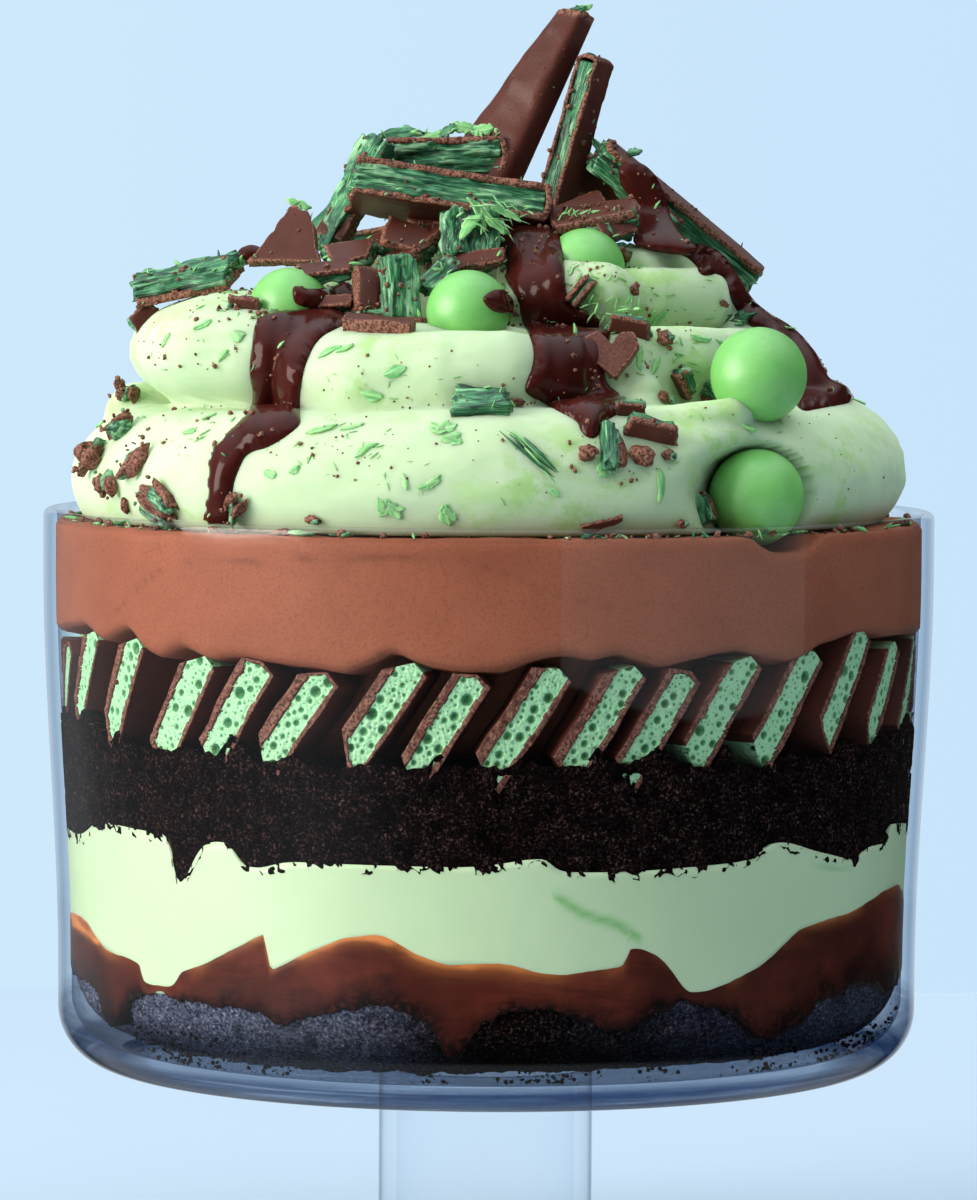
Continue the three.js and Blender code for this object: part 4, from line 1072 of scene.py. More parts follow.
# ================================================================ coated sweets
BALLS = [("ball_a", -49.2, -40, 250.6, 10.1), ("ball_b", -5.4, -57, 250.3, 10.1), ("ball_c", 23.2, -32, 260.7, 10),
         ("ball_d", 64.9, -66, 235.4, 11.7), ("ball_e", 64.4, -71.6, 206.2, 11.6), ("ball_f", 44, 60, 236.5, 11.2)]


def shell_material():
    n = Nodes("green_sugar_shell", Roughness=0.5, Specular_IOR_Level=0.75, Coat_Weight=0.35, Coat_Roughness=0.34, Subsurface_Weight=0.1, Subsurface_Scale=0.002)
    cloud, speck = n.noise(240, 4, 0.6), n.voronoi(520)
    c = n.ramp(cloud, [(0.3, lin(104, 178, 84)), (0.7, lin(118, 190, 96))])
    c = n.mix(n.ramp(speck, [(0.0, 0.30), (0.14, 0.0)]), c, lin(160, 218, 140))
    return n.use(Base_Color=c, Normal=n.bump(cloud, 0.1, 0.0006))


def make_balls():
    mat = shell_material()
    for i, (name, x, y, z, r) in enumerate(BALLS):
        rows_n, cols = 32, 60
        lat = np.linspace(-89, 89, rows_n)
        lon = np.arange(cols) * 360 / cols
        la, lo = np.meshgrid(np.radians(lat), np.radians(lon), indexing="ij")
        d = np.stack([np.cos(la) * np.cos(lo), np.cos(la) * np.sin(lo), np.sin(la)], -1)
        rad = r * (1 + 0.010 * noise(d * 10 + i * 20, 9, 5) + 0.003 * noise(d * 10 + i * 20, 3, 6))
        p = (d * rad[..., None]).reshape(-1, 3)
        v = np.concatenate([p, [[0, 0, r], [0, 0, -r]]]) + [x, y, z]
        k = np.arange(cols)
        j = (k + 1) % cols
        last = (rows_n - 1) * cols
        faces = [grid(rows_n, cols, wrap=True, flip=True), np.stack([last + k, last + j, np.full(cols, rows_n * cols)], -1), np.stack([j, k, np.full(cols, rows_n * cols + 1)], -1)]
        ob = mesh_from(name + "_sweet", v, faces, [mat])
        ride(ob, name, slot="sweet_shell")


# ================================================================ broken pieces, sauce and crumbs
def box_shell(nu, nv, nw):
    """Surface points (-1 to 1) and outward quads of a box cut into nu x nv x nw cells."""
    on = np.zeros((nu + 1, nv + 1, nw + 1), bool)
    on[[0, -1]] = on[:, [0, -1]] = on[:, :, [0, -1]] = True
    idx = np.full(on.shape, -1)
    idx[on] = np.arange(on.sum())
    g = np.stack(np.meshgrid(*(np.linspace(-1, 1, k + 1) for k in (nu, nv, nw)), indexing="ij"), -1)[on]

    def side(a):
        return np.stack([a[:-1, :-1], a[1:, :-1], a[1:, 1:], a[:-1, 1:]], -1).reshape(-1, 4)
    f = [side(idx[:, :, 0])[:, ::-1], side(idx[:, :, -1]), side(idx[:, 0, :]), side(idx[:, -1, :])[:, ::-1], side(idx[0])[:, ::-1], side(idx[-1])]
    return g, np.concatenate(f)


def frame_of(a, b, face):
    """Unit directions along a piece, across it and through its thickness."""
    u = unit(np.subtract(b, a))
    v = unit(np.cross(unit(face), u))
    return u, v, np.cross(u, v)


GREEN, BROWN, LEAF = 0, 1, 2


def broken_piece(a, b, face, width, thick, taper=1.0, slant=0.0, seed=1, step=0.8, coats=(1, 1), ends=(0, 0), coat=1.5, fibre=0.7, tooth=1.1, bow=0.0):
    """A broken slice: a fibrous green middle between two thin chocolate coats. coats says which broad faces have one, ends which ends are coated.
    Gives (points, quads, material, local place, roughness) for each body."""
    a, b = np.asarray(a, float), np.asarray(b, float)
    u, v, w = frame_of(a, b, face)
    length = np.linalg.norm(b - a)
    nu, nv, nw = (max(2, int(round(x / step))) for x in (length, width, thick))
    half_w, half_t = width / 2, thick / 2
    out = []

    def put(g, q, mat, along, across, high, rough):
        t = along / length
        scale = 1 + (taper - 1) * t
        y = across * scale
        x = along + slant * y * 0.8 * np.where(t > 0.5, (t - 0.5) * 2, (0.5 - t) * -1.2)
        h = high + bow * (1 - (2 * t - 1) ** 2)
        p = a + x[:, None] * u + y[:, None] * v + h[:, None] * w
        out.append((p, q, mat, np.stack([along, across, high], -1) + seed * 37.0, rough))
    # green middle
    lo_t = -half_t + (coat * 0.75 if coats[0] else 0)
    hi_t = half_t - (coat * 0.75 if coats[1] else 0)
    g, q = box_shell(nu, nv, max(2, int(round((hi_t - lo_t) / step))))
    along = (g[:, 0] + 1) / 2 * length
    across = g[:, 1] * (half_w - 0.25)
    high = lo_t + (hi_t - lo_t) * (g[:, 2] + 1) / 2
    loc = np.stack([along, across, high], -1) + seed * 11.0
    fib = noise(loc * [0.16, 0.3, 1.0], 1.15, seed) + 0.5 * noise(loc * [0.3, 0.5, 1.3], 0.7, seed + 3)
    edge_v = smooth(0.55, 1.0, np.abs(g[:, 1]))
    across = across + np.sign(g[:, 1]) * edge_v * (fibre * fib - 0.25 * fibre + 0.5 * noise(loc, 6, seed + 5))
    edge_u = smooth(0.75, 1.0, np.abs(g[:, 0]))
    shred = noise(loc * [0.05, 1, 1], 1.5, seed + 7) * tooth + 0.6 * noise(loc * [0.1, 1, 1], 4, seed + 8) * tooth
    free = np.where(g[:, 0] > 0, 0.0 if ends[1] else 1.0, 0.0 if ends[0] else 1.0)
    along = along + np.sign(g[:, 0]) * edge_u * (shred * free - 0.6 * (1 - free))
    if not coats[1]:
        high = high + smooth(0.5, 1, g[:, 2]) * (0.55 * fib * fibre + 0.5 * noise(loc, 5, seed + 9))
    if not coats[0]:
        high = high - smooth(-0.5, -1, g[:, 2]) * (0.55 * fib * fibre + 0.5 * noise(loc, 5, seed + 10))
    put(g, q, GREEN, along, across, high, np.clip(0.5 + 0.5 * fib, 0, 1))
    # coats on the broad faces
    for k, sgn in ((0, -1), (1, 1)):
        if not coats[k]:
            continue
        g, q = box_shell(nu, nv, 2)
        along = (g[:, 0] + 1) / 2 * length
        across = g[:, 1] * (half_w + 0.1)
        loc = np.stack([along, across, g[:, 2]], -1) + seed * 13.0 + k * 50
        rag = noise(loc * [1, 1, 0.2], 3.2, seed + 20 + k) * 0.55 + noise(loc * [1, 1, 0.4], 1.2, seed + 22 + k) * 0.3
        across = across + np.sign(g[:, 1]) * smooth(0.8, 1, np.abs(g[:, 1])) * rag
        along = along + np.sign(g[:, 0]) * smooth(0.9, 1, np.abs(g[:, 0])) * rag * 1.3
        inner = g[:, 2] * sgn < -0.3
        ct = coat * (1 + 0.18 * noise(loc * [1, 1, 0], 5, seed + 24 + k))
        high = sgn * (half_t - np.where(g[:, 2] * sgn > 0.5, 0.0, np.where(inner, ct, ct * 0.5)))
        high = high + sgn * 0.18 * noise(loc * [1, 1, 0], 8, seed + 26 + k) * (g[:, 2] * sgn > 0.5)
        rim = np.maximum(np.abs(g[:, 0]), np.abs(g[:, 1])) > 0.999
        high = high - sgn * 0.25 * (rim & (g[:, 2] * sgn > 0.5))
        put(g, q, BROWN, along, across, high, np.where(rim | inner, 1.0, 0.12))
    for k, sgn in ((0, -1), (1, 1)):
        if not ends[k]:
            continue
        g, q = box_shell(2, nv, nw)
        bulge = 1.4 * (1 - (g[:, 2]) ** 2)
        along = (0 if k == 0 else length) + sgn * (bulge + (g[:, 0] * sgn - 1) * coat * 0.5)
        across = g[:, 1] * (half_w + 0.1) + np.sign(g[:, 1]) * smooth(0.8, 1, np.abs(g[:, 1])) * 0.4 * noise(g * 9 + seed, 2, seed)
        put(g, q, BROWN, along, across, g[:, 2] * half_t * 0.97, np.where(np.abs(g[:, 1]) > 0.999, 1.0, 0.12))
    return out


def gather(bodies):
    vs, fs, ms, ls, rs, n = [], [], [], [], [], 0
    for p, q, m, loc, rough in bodies:
        vs.append(p)
        fs.append(q + n)
        ms.append(np.full(len(q), m))
        ls.append(loc)
        rs.append(rough)
        n += len(p)
    return np.concatenate(vs), fs, np.concatenate(ms), np.concatenate(ls), np.concatenate(rs)


def pieces_object(name, bodies, mats):
    """One mesh from bodies of quads or triangles, with each body's own place in its fibres kept as an attribute."""
    v, f, m, loc, rough = gather(bodies)
    order = np.argsort([x.shape[1] for x in f], kind="stable")
    quads = [f[i] for i in order]
    mats_per = np.concatenate([np.full(len(f[i]), bodies[i][2]) for i in order])
    ob = mesh_from(name, v, quads, mats, mats_per, attrs={"rough": rough})
    at = ob.data.attributes.new("local", "FLOAT_VECTOR", "POINT")
    at.data.foreach_set("vector", np.ascontiguousarray(loc * MM, dtype=np.float32).ravel())
    return ob


def fibre_material():
    n = Nodes("mint_fibre", Roughness=0.34, Specular_IOR_Level=0.5, Subsurface_Weight=0.08, Subsurface_Scale=0.001)
    n.set(n.bsdf, "Subsurface Radius", (0.4, 1.0, 0.5))
    place = n.new("Attribute", out="Vector", props={"attribute_name": "local"})
    strand = n.noise(1500, 3, 0.65, 0.25, vector=n.stretch((0.07, 0.40, 1.0), vector=place))
    thin = n.noise(2600, 2, 0.6, 0.1, vector=n.stretch((0.05, 0.5, 1.0), vector=place))
    patch = n.noise(150, 3, 0.55, vector=n.stretch((0.4, 1, 1), vector=place))
    gap = n.noise(640, 3, 0.6, 0.4, vector=n.stretch((0.10, 0.6, 1.0), vector=place))
    # dark to pale mint strands: the fibres' own green, darkened and lightened further as painted shade between them and
    # painted highlights on them
    c = n.ramp(strand, [(0.34, lin(14, 46, 32)), (0.46, lin(34, 96, 60)), (0.54, lin(70, 140, 88)), (0.66, lin(150, 204, 152))])
    c = n.mix(n.ramp(patch, [(0.40, 0.75), (0.58, 0.0)]), c, n.ramp(thin, [(0.40, lin(20, 74, 52)), (0.56, lin(40, 112, 74)), (0.66, lin(104, 170, 122))]))
    # painted shade: near black in the gaps between the fibres
    c = n.mix(n.ramp(gap, [(0.36, 0.85), (0.44, 0.0)]), c, lin(12, 34, 24))
    c = n.mix(n.ramp(n.attr("rough"), [(0.70, 0.0), (0.92, 0.5)]), c, lin(168, 214, 164))
    return n.use(Base_Color=c, Normal=n.bump(strand, 1.0, 0.0008, n.bump(gap, 0.6, 0.0012)))


def leaf_material():
    n = Nodes("mint_flake", Roughness=0.4, Specular_IOR_Level=0.3, Subsurface_Weight=0.35, Subsurface_Scale=0.0015)
    n.set(n.bsdf, "Subsurface Radius", (0.6, 1.0, 0.5))
    place = n.new("Attribute", out="Vector", props={"attribute_name": "local"})
    strand = n.noise(1100, 3, 0.6, vector=n.stretch((0.12, 1.0, 1.0), vector=place))
    patch = n.noise(260, 3, 0.6)
    c = n.ramp(strand, [(0.36, lin(84, 156, 92)), (0.52, lin(126, 188, 118)), (0.66, lin(176, 218, 158))])
    c = n.mix(n.ramp(patch, [(0.40, 0.6), (0.60, 0.0)]), c, lin(150, 204, 128))
    return n.use(Base_Color=c, Normal=n.bump(strand, 0.7, 0.0006))


# whole broken pieces: name, two ends, thickness direction, width, thickness, taper, slant, and how each is made
PIECES = [
    ("piece_tall_thin", (14.6, -4, 271), (26, -1, 312.5), (0.82, -0.42, -0.36), 12, 6.0, 0.85, -0.1, dict(coat=1.1, ends=(0, 1), fibre=0.6, step=0.6)),
    ("piece_right_long", (27, -4, 289.5), (66, -1, 257.8), (0.61, -0.12, 0.78), 14, 8.4, 0.9, 0.1, dict(coat=1.8, coats=(0, 1), fibre=0.7, step=0.62)),
    ("piece_right_back", (22.4, 4, 285.5), (34, 2.5, 279), (-0.30, -0.88, -0.36), 10, 5.0, 0.8, 0.3, dict(coat=1.6, coats=(0, 1))),
    ("piece_wide", (-34.2, -23, 281.2), (14.2, -21, 274.4), (-0.08, 0.3, 0.95), 17, 9.8, 0.95, 0.15, dict(coat=1.7, ends=(0, 1), step=0.62)),
    ("piece_wide_back", (-26.5, -1, 287.6), (4.0, -1, 288.4), (0.02, 0.14, 0.98), 15, 9.0, 0.85, 0.2, dict(coat=1.6, coats=(0, 1), ends=(0, 1), fibre=1.3, step=0.62)),
    ("piece_left_lean", (-27.2, -8, 291.5), (-42.5, -13, 265), (-0.60, -0.72, 0.36), 9.0, 5.6, 1.05, 0.1, dict(coat=1.2, coats=(0, 0), fibre=0.9, tooth=2.4, step=0.55)),
    ("chunk_mid", (-5.4, -34, 274.4), (-5.0, -38, 262.6), (0.2, -0.95, -0.2), 13, 8, 1.1, 0.1, dict(coats=(0, 0), fibre=1.4, tooth=1.4, step=0.6)),
    ("piece_mid_right", (15.0, -27, 270.6), (36, -25, 274.6), (-0.15, -0.35, 0.92), 11, 5.2, 0.9, 0.15, dict(coat=2.4, coats=(0, 1), fibre=1.0)),
    ("stub_upright", (-22.6, -49, 263), (-21.4, -54, 247.7), (0.4, -0.9, -0.1), 8.4, 6, 0.95, 0.1, dict(coats=(0, 0), fibre=0.5, step=0.45)),
    ("slab_far_left", (-87.8, -20, 254.4), (-63.6, -24, 260.0), (-0.2, -0.25, 0.95), 11, 6.2, 1.25, 0.2, dict(coat=2.2, coats=(1, 0), fibre=1.4, tooth=1.8, step=0.7)),
    ("chip_front", (-8.5, -87.5, 228.2), (4.2, -87.5, 228.6), (0, -0.6, 0.8), 9, 5.4, 0.85, 0.2, dict(coat=1.2, coats=(1, 0), step=0.6)),
    ("slab_back", (-38, 40, 262), (-8, 46, 268), (0.1, 0.5, 0.86), 16, 8, 0.9, 0.2, dict(coat=1.6, step=1.0)),
    ("piece_back", (18, 34, 256), (26, 22, 282), (0.2, 0.95, 0.3), 14, 8, 0.8, 0.3, dict(coat=1.6, step=1.0))]
PLATES = [("plate_left", (-50.5, -29, 261.5), (-46.8, -22, 274.6), (-0.3, -0.85, 0.36), 19, 3, 0.24, 0.2),
          ("plate_mid", (-13, -26, 270), (-23.5, -36, 262), (-0.5, -0.5, 0.7), 9, 3.6, 0.9, 0.2)]
CHIP = dict(at=(29.4, -67.5, 240.4), size=7.2, thick=2.4, face=(-0.12, -0.86, 0.5))
# what fills the heap under and between them: kind, first end and second end as (x, y in the picture, depth in mm), thickness direction, width, thickness
HEAP = [
    ("plate", (371, 244, -22), (406, 236, -24), (0.1, -0.7, 0.7), 5.0, 2.6), ("plate", (368, 272, -44), (366, 312, -50), (0.3, -0.9, 0.2), 6.6, 5.0),
    ("plate", (444, 266, -42), (505, 255, -42), (0.05, -0.8, 0.6), 4.6, 2.4), ("duo", (330, 262, -34), (372, 254, -34), (0.1, -0.5, 0.86), 9, 5.0),
    ("duo", (384, 236, -30), (430, 252, -32), (0.1, -0.6, 0.8), 10, 6.0), ("plate", (330, 240, -14), (352, 205, -12), (-0.5, -0.8, 0.3), 9, 4.0),
    ("duo", (408, 222, -14), (470, 230, -16), (0.1, -0.4, 0.9), 12, 7.0), ("duo", (480, 238, -24), (548, 222, -18), (0.0, -0.4, 0.92), 12, 7.5),
    ("duo", (596, 232, -30), (634, 226, -26), (0.1, -0.85, 0.5), 6, 5.0), ("plate", (540, 232, -18), (606, 206, -12), (0.1, -0.5, 0.86), 12, 4.0),
    ("green", (426, 290, -50), (452, 268, -46), (-0.2, -0.8, 0.5), 6, 4.0), ("green", (440, 278, -44), (456, 262, -42), (0.3, -0.8, 0.4), 5, 3.4),
    ("duo", (300, 276, -40), (352, 270, -40), (0.1, -0.4, 0.9), 7, 4.0), ("green", (352, 320, -52), (392, 318, -54), (0, -0.6, 0.8), 5, 2.6),
    ("duo", (256, 312, -44), (352, 303, -48), (0.05, -0.75, 0.66), 3.6, 3.6), ("duo", (636, 204, -8), (668, 232, -8), (-0.4, -0.7, -0.5), 9, 5.0)]


def chocolate_plate(a, b, face, width, thick, taper, slant, seed, step=0.7):
    """A flat broken plate of coating only."""
    a, b = np.asarray(a, float), np.asarray(b, float)
    u, v, w = frame_of(a, b, face)
    length = np.linalg.norm(b - a)
    g, q = box_shell(max(2, int(length / step)), max(2, int(width / step)), 3)
    t = (g[:, 0] + 1) / 2
    along = t * length
    across = g[:, 1] * width / 2 * (1 + (taper - 1) * t)
    loc = np.stack([along, across, g[:, 2]], -1) + seed * 13.0
    rag = noise(loc * [1, 1, 0.3], 3.0, seed) * 0.5 + noise(loc * [1, 1, 0.5], 1.1, seed + 2) * 0.25
    across = across + np.sign(g[:, 1]) * smooth(0.8, 1, np.abs(g[:, 1])) * rag
    along = along + np.sign(g[:, 0]) * smooth(0.85, 1, np.abs(g[:, 0])) * rag + slant * across * 0.8 * (t - 0.4)
    rim = np.maximum(np.abs(g[:, 0]), np.abs(g[:, 1])) > 0.999
    high = g[:, 2] * thick / 2 * (1 - 0.12 * rim) + 0.25 * noise(loc * [1, 1, 0], 7, seed + 4)
    p = a + along[:, None] * u + across[:, None] * v + high[:, None] * w
    return (p, q, BROWN, loc, np.where(rim, 1.0, 0.15))


def tall_piece():
    """The smooth coated piece that stands highest: flat front, rounded right side, slanted top with its green middle showing."""
    a, b = np.array([-6.0, -1, 277.5]), np.array([20.8, 4, 324.4])
    u, v, w = frame_of(a, b, (-0.5, -0.83, 0.2))
    length = np.linalg.norm(b - a)
    nu, na = 72, 64
    t, k = np.meshgrid(np.linspace(0, 1, nu), np.arange(na) * TAU / na, indexing="ij")
    e = 0.34 + 0.36 * (np.cos(k) > 0)
    cs, sn = np.cos(k), np.sin(k)
    x = np.sign(cs) * np.abs(cs) ** e
    y = np.sign(sn) * np.abs(sn) ** 0.42
    half = 10.8 * (1 - 0.62 * t)
    across = x * half
    round_side = smooth(0.35, 1.0, x)
    high = y * 5.6 * (1 - 0.30 * t) * (1 - 0.34 * round_side * (y > 0))
    along = t * length
    loc = np.stack([along, across, high], -1)
    along = along - 0.42 * across * 0.8 * np.where(t > 0.5, (t - 0.5) * 2, (0.5 - t) * -1.2)
    dent = 0.75 * noise(loc * [1.2, 0.5, 0.2], 8, 301) + 0.30 * noise(loc * [1, 1, 0.3], 4.5, 305) + 0.10 * noise(loc, 2, 302)
    high = high + dent * (y > 0.4)
    ragged = 0.5 * noise(loc * [0.2, 1, 1], 1.6, 303) + 0.3 * noise(loc * [0.2, 1, 1], 3.5, 304)
    along = along + ragged * smooth(0.965, 1, t) - ragged * smooth(0.035, 0, t)
    p = a + along[..., None] * u + across[..., None] * v + high[..., None] * w
    rough = smooth(0.955, 1.0, t) + 0.12
    body = p.reshape(-1, 3)
    cap_in = p[-1] * 0.80 + p[-1].mean(0) * 0.20 - u * 0.8
    low_c, top_c = p[0].mean(0), cap_in.mean(0) - u * 0.4
    vs = np.concatenate([body, cap_in, [low_c], [top_c]])
    n0 = nu * na
    kk = np.arange(na)
    jj = (kk + 1) % na
    q = grid(nu, na, wrap=True, flip=True)
    q2 = np.stack([n0 - na + kk, n0 - na + jj, n0 + jj, n0 + kk], -1)
    f3 = np.stack([n0 + kk, n0 + jj, np.full(na, n0 + na + 1)], -1)
    f4 = np.stack([jj, kk, np.full(na, n0 + na)], -1)
    loc_all = np.concatenate([loc.reshape(-1, 3), loc[-1] * 0.8, [[0, 0, 0]], [[length, 0, 0]]])
    rough_all = np.concatenate([rough.ravel(), np.full(na, 1.0), [1.0, 1.0]])
    return vs, [q, q2, f3, f4], loc_all, rough_all


def tuft(centre, direction, count, spread, long, thick, seed, mat=GREEN):
    """Loose splinters standing off a broken edge."""
    r = rng(seed)
    out = []
    for i in range(count):
        c = np.asarray(centre) + (r.random(3) - 0.5) * 2 * np.asarray(spread)
        d = unit(np.asarray(direction) + (r.random(3) - 0.5) * 1.5)
        out.append(splinter(c, d, long * r.uniform(0.5, 1.2), thick * r.uniform(0.6, 1.3), r.uniform(0, 3.1), seed * 100 + i, mat))
    return out


def splinter(c, d, long, thick, roll, seed, mat=GREEN, flat=0.55):
    """A thin pointed sliver along d."""
    d = unit(d)
    side = unit(np.cross(d, [0.31, 0.17, 0.93]))
    up = np.cross(d, side)
    s, t = math.cos(roll) * side + math.sin(roll) * up, -math.sin(roll) * side + math.cos(roll) * up
    r = rng(seed)
    ring, pts = 4, []
    for i, f in enumerate((0.0, 0.3, 0.7, 1.0)):
        rad = thick * (0.25, 1.0, 0.85, 0.18)[i] * r.uniform(0.8, 1.2)
        for k in range(ring):
            a = k * TAU / ring
            pts.append(c + d * (f - 0.5) * long + s * math.cos(a) * rad + t * math.sin(a) * rad * flat + s * 0.12 * long * (f - 0.5) ** 2)
    pts = np.array(pts)
    q = grid(4, ring, wrap=True, flip=True)
    ends = np.array([[3, 2, 1, 0], [12, 13, 14, 15]])
    loc = np.stack([np.repeat([0, 0.3, 0.7, 1.0], ring) * long, np.tile([0, 1, 0, -1], 4) * thick, np.tile([1, 0, -1, 0], 4) * thick], -1) + seed % 97
    return (pts, np.concatenate([q, ends]), mat, loc, np.full(16, 0.6))


def crumb(c, size, seed, mat=BROWN, squash=0.75, detail=1):
    """An angular crumb: a rough small lump."""
    v, f = ICO[detail]
    r = rng(seed)
    n = np.array([r.normal(size=3) for _ in range(5)])
    n = unit(n)
    cut = np.array([r.uniform(0.55, 0.95) for _ in range(5)])
    p = v.copy()
    for a, h in zip(n, cut):
        over = np.maximum(0, p @ a - h)
        p = p - over[:, None] * a
    p = p * (1 + 0.12 * noise(v * 5 + seed, 2.0, seed % 50))[:, None]
    ax = unit(r.normal(size=3))
    p = p - np.outer(p @ ax, ax) * (1 - squash)
    return (np.asarray(c) + p * size / 2, f, mat, p * size + seed % 89, np.full(len(p), 0.85))


def icosphere(level):
    t = (1 + 5 ** 0.5) / 2
    v = [(-1, t, 0), (1, t, 0), (-1, -t, 0), (1, -t, 0), (0, -1, t), (0, 1, t), (0, -1, -t), (0, 1, -t), (t, 0, -1), (t, 0, 1), (-t, 0, -1), (-t, 0, 1)]
    f = [(0, 11, 5), (0, 5, 1), (0, 1, 7), (0, 7, 10), (0, 10, 11), (1, 5, 9), (5, 11, 4), (11, 10, 2), (10, 7, 6), (7, 1, 8),
         (3, 9, 4), (3, 4, 2), (3, 2, 6), (3, 6, 8), (3, 8, 9), (4, 9, 5), (2, 4, 11), (6, 2, 10), (8, 6, 7), (9, 8, 1)]
    v = [list(unit(p)) for p in v]
    for _ in range(level):
        mid, nf = {}, []

        def half(a, b):
            k = (min(a, b), max(a, b))
            if k not in mid:
                mid[k] = len(v)
                v.append(list(unit((np.array(v[a]) + v[b]) / 2)))
            return mid[k]
        for a, b, c in f:
            x, y, z = half(a, b), half(b, c), half(c, a)
            nf += [(a, x, z), (b, y, x), (c, z, y), (x, y, z)]
        f = nf
    return np.array(v), np.array(f)


ICO = [icosphere(i) for i in range(4)]



def lump(c, u, n, long, wide, high, seed, mat=BROWN, detail=2, angular=1.0, ridge=0.0):
    """A rugged lump: cut by flat planes, roughened, and stretched along u, across it and along n."""
    v, f = ICO[detail]
    r = rng(seed)
    u = unit(u)
    side = unit(np.cross(n, u))
    n = np.cross(u, side)
    p = v.copy()
    for _ in range(9):
        a = unit(r.normal(size=3))
        over = np.maximum(0, p @ a - r.uniform(0.50, 0.85))
        p = p - angular * over[:, None] * a
    p = p * (1 + 0.16 * noise(v * 4 + seed % 71, 1.8, seed % 50) + 0.08 * noise(v * 9 + seed % 71, 1.6, seed % 47))[:, None]
    p = p + ridge * np.sin(p[:, 1:2] * 9 + seed)[:, :1] * np.abs(v[:, 2:3]) * [0, 0, 1]
    p = p * [long / 2, wide / 2, high / 2]
    return (np.asarray(c) + p[:, :1] * u + p[:, 1:2] * side + p[:, 2:] * n, f, mat, p + seed % 89, np.clip(0.72 + 0.5 * noise(v * 5, 1.2, seed % 31), 0, 1))


def leaf(c, u, n, long, wide, seed, mat=LEAF, thick=0.55):
    """A thin flake with a torn outline, ridged along its length."""
    r = rng(seed)
    u = unit(u)
    side = unit(np.cross(n, u))
    n = np.cross(u, side)
    nu, nw = 12, 6
    g, q = box_shell(nu, nw, 1)
    t = g[:, 0]
    outline = np.sqrt(np.maximum(0.03, 1 - np.abs(t) ** r.uniform(1.6, 3.2))) * (1 + 0.35 * noise(np.stack([t * 4, t * 0 + np.sign(g[:, 1]) * 3, t * 0 + seed % 61], -1), 1.0, 3))
    across = g[:, 1] * wide / 2 * outline + 0.12 * long * r.uniform(-1, 1) * (t * t - 0.4)
    along = t * long / 2 * (1 + 0.10 * noise(np.stack([g[:, 1] * 4, t * 0, t * 0 + seed % 53], -1), 1.0, 4))
    high = g[:, 2] * thick / 2 * (1.05 - 0.75 * np.abs(g[:, 1])) * (1 + 0.5 * np.sin(g[:, 1] * 7 + seed)) + 0.02 * long * r.uniform(-1, 1.5) * (1 - t * t)
    p = np.asarray(c) + along[:, None] * u + across[:, None] * side + high[:, None] * n
    return (p, q, mat, np.stack([along, across, high], -1) + seed % 83, np.full(len(g), 0.3))


# small broken bits lying on the cream, by where the camera sees them:
# kind, x, y, length, width, thickness in mm, turn in the picture in degrees, how it lies (flat on the cream, or on its side)
BITS = [
    ("rug", 129, 397, 6.0, 5.6, 4.6, 80, "flat"), ("rug", 124, 431, 9.0, 6.8, 5.0, 78, "flat"), ("rug", 98, 462, 9.0, 5.4, 5.2, 14, "flat"),
    ("rug", 137, 463, 12.5, 4.8, 4.6, 47, "flat"), ("rug", 113, 484, 7.5, 5.0, 4.6, -62, "flat"), ("rug", 162, 503, 13.0, 8.4, 4.0, -22, "flat"), ("rug", 90, 456, 5.0, 4.4, 3.6, 30, "flat"),
    ("choc", 128, 506, 4.6, 2.6, 2.4, 80, "side"), ("rug", 238, 506, 7.5, 4.6, 4.0, 60, "flat"), ("choc", 314, 519, 4.6, 2.6, 2.4, 0, "flat"),
    ("duo", 144, 318, 7.0, 4.4, 3.2, 30, "side"), ("duo", 244, 309, 7.5, 3.6, 3.0, -30, "side"), ("duo", 320, 311, 13.0, 4.2, 3.0, 8, "side"),
    ("green", 480, 410, 12.6, 7.2, 4.6, -4, "flat"), ("stick", 380, 333, 18.0, 4.6, 4.0, -52, "flat"), ("stick", 411, 324, 7.5, 1.8, 1.4, 20, "flat"),
    ("choc", 587, 454, 5.2, 4.6, 3.8, 0, "flat"), ("green", 608, 446, 12.0, 4.0, 3.4, 84, "side"), ("choc", 618, 449, 12.0, 2.6, 5.5, 80, "side"),
    ("duo", 650, 433, 12.0, 6.0, 4.0, 2, "side"), ("choc", 640, 455, 7.0, 5.5, 4.4, -30, "flat"), ("choc", 669, 455, 4.4, 3.4, 3.0, -50, "flat"), ("duo", 630, 414, 7.0, 4.0, 3.0, 10, "side"),
    ("duo", 608, 258, 9.5, 5.5, 3.6, -4, "side"), ("duo", 581, 292, 7.5, 4.4, 3.8, 50, "side"), ("choc", 633, 290, 3.8, 2.8, 2.4, 80, "flat"),
    ("choc", 723, 303, 2.8, 2.2, 2.0, -30, "flat"), ("choc", 724, 261, 4.2, 3.0, 1.6, -20, "flat"), ("choc", 689, 256, 3.4, 2.6, 2.2, 0, "flat"),
    ("duo", 628, 332, 10.0, 5.0, 3.4, -14, "side"), ("choc", 664, 341, 5.0, 4.0, 3.6, 0, "flat"), ("duo", 681, 382, 7.6, 4.0, 4.0, -55, "side"),
    ("duo", 711, 391, 6.6, 4.6, 4.4, -28, "side"), ("choc", 662, 401, 5.6, 3.4, 3.0, 12, "flat"), ("duo", 700, 510, 7.0, 4.4, 4.0, 78, "side"),
    ("plate", 602, 524, 10.0, 3.2, 1.2, 14, "flat"), ("choc", 681, 523, 3.4, 2.4, 2.2, 0, "flat"), ("duo", 420, 243, 9.0, 5.0, 3.2, 50, "flat"),
    ("choc", 515, 401, 4.0, 2.2, 2.0, 0, "flat"), ("green", 745, 317, 5.0, 3.0, 3.0, 60, "side")]
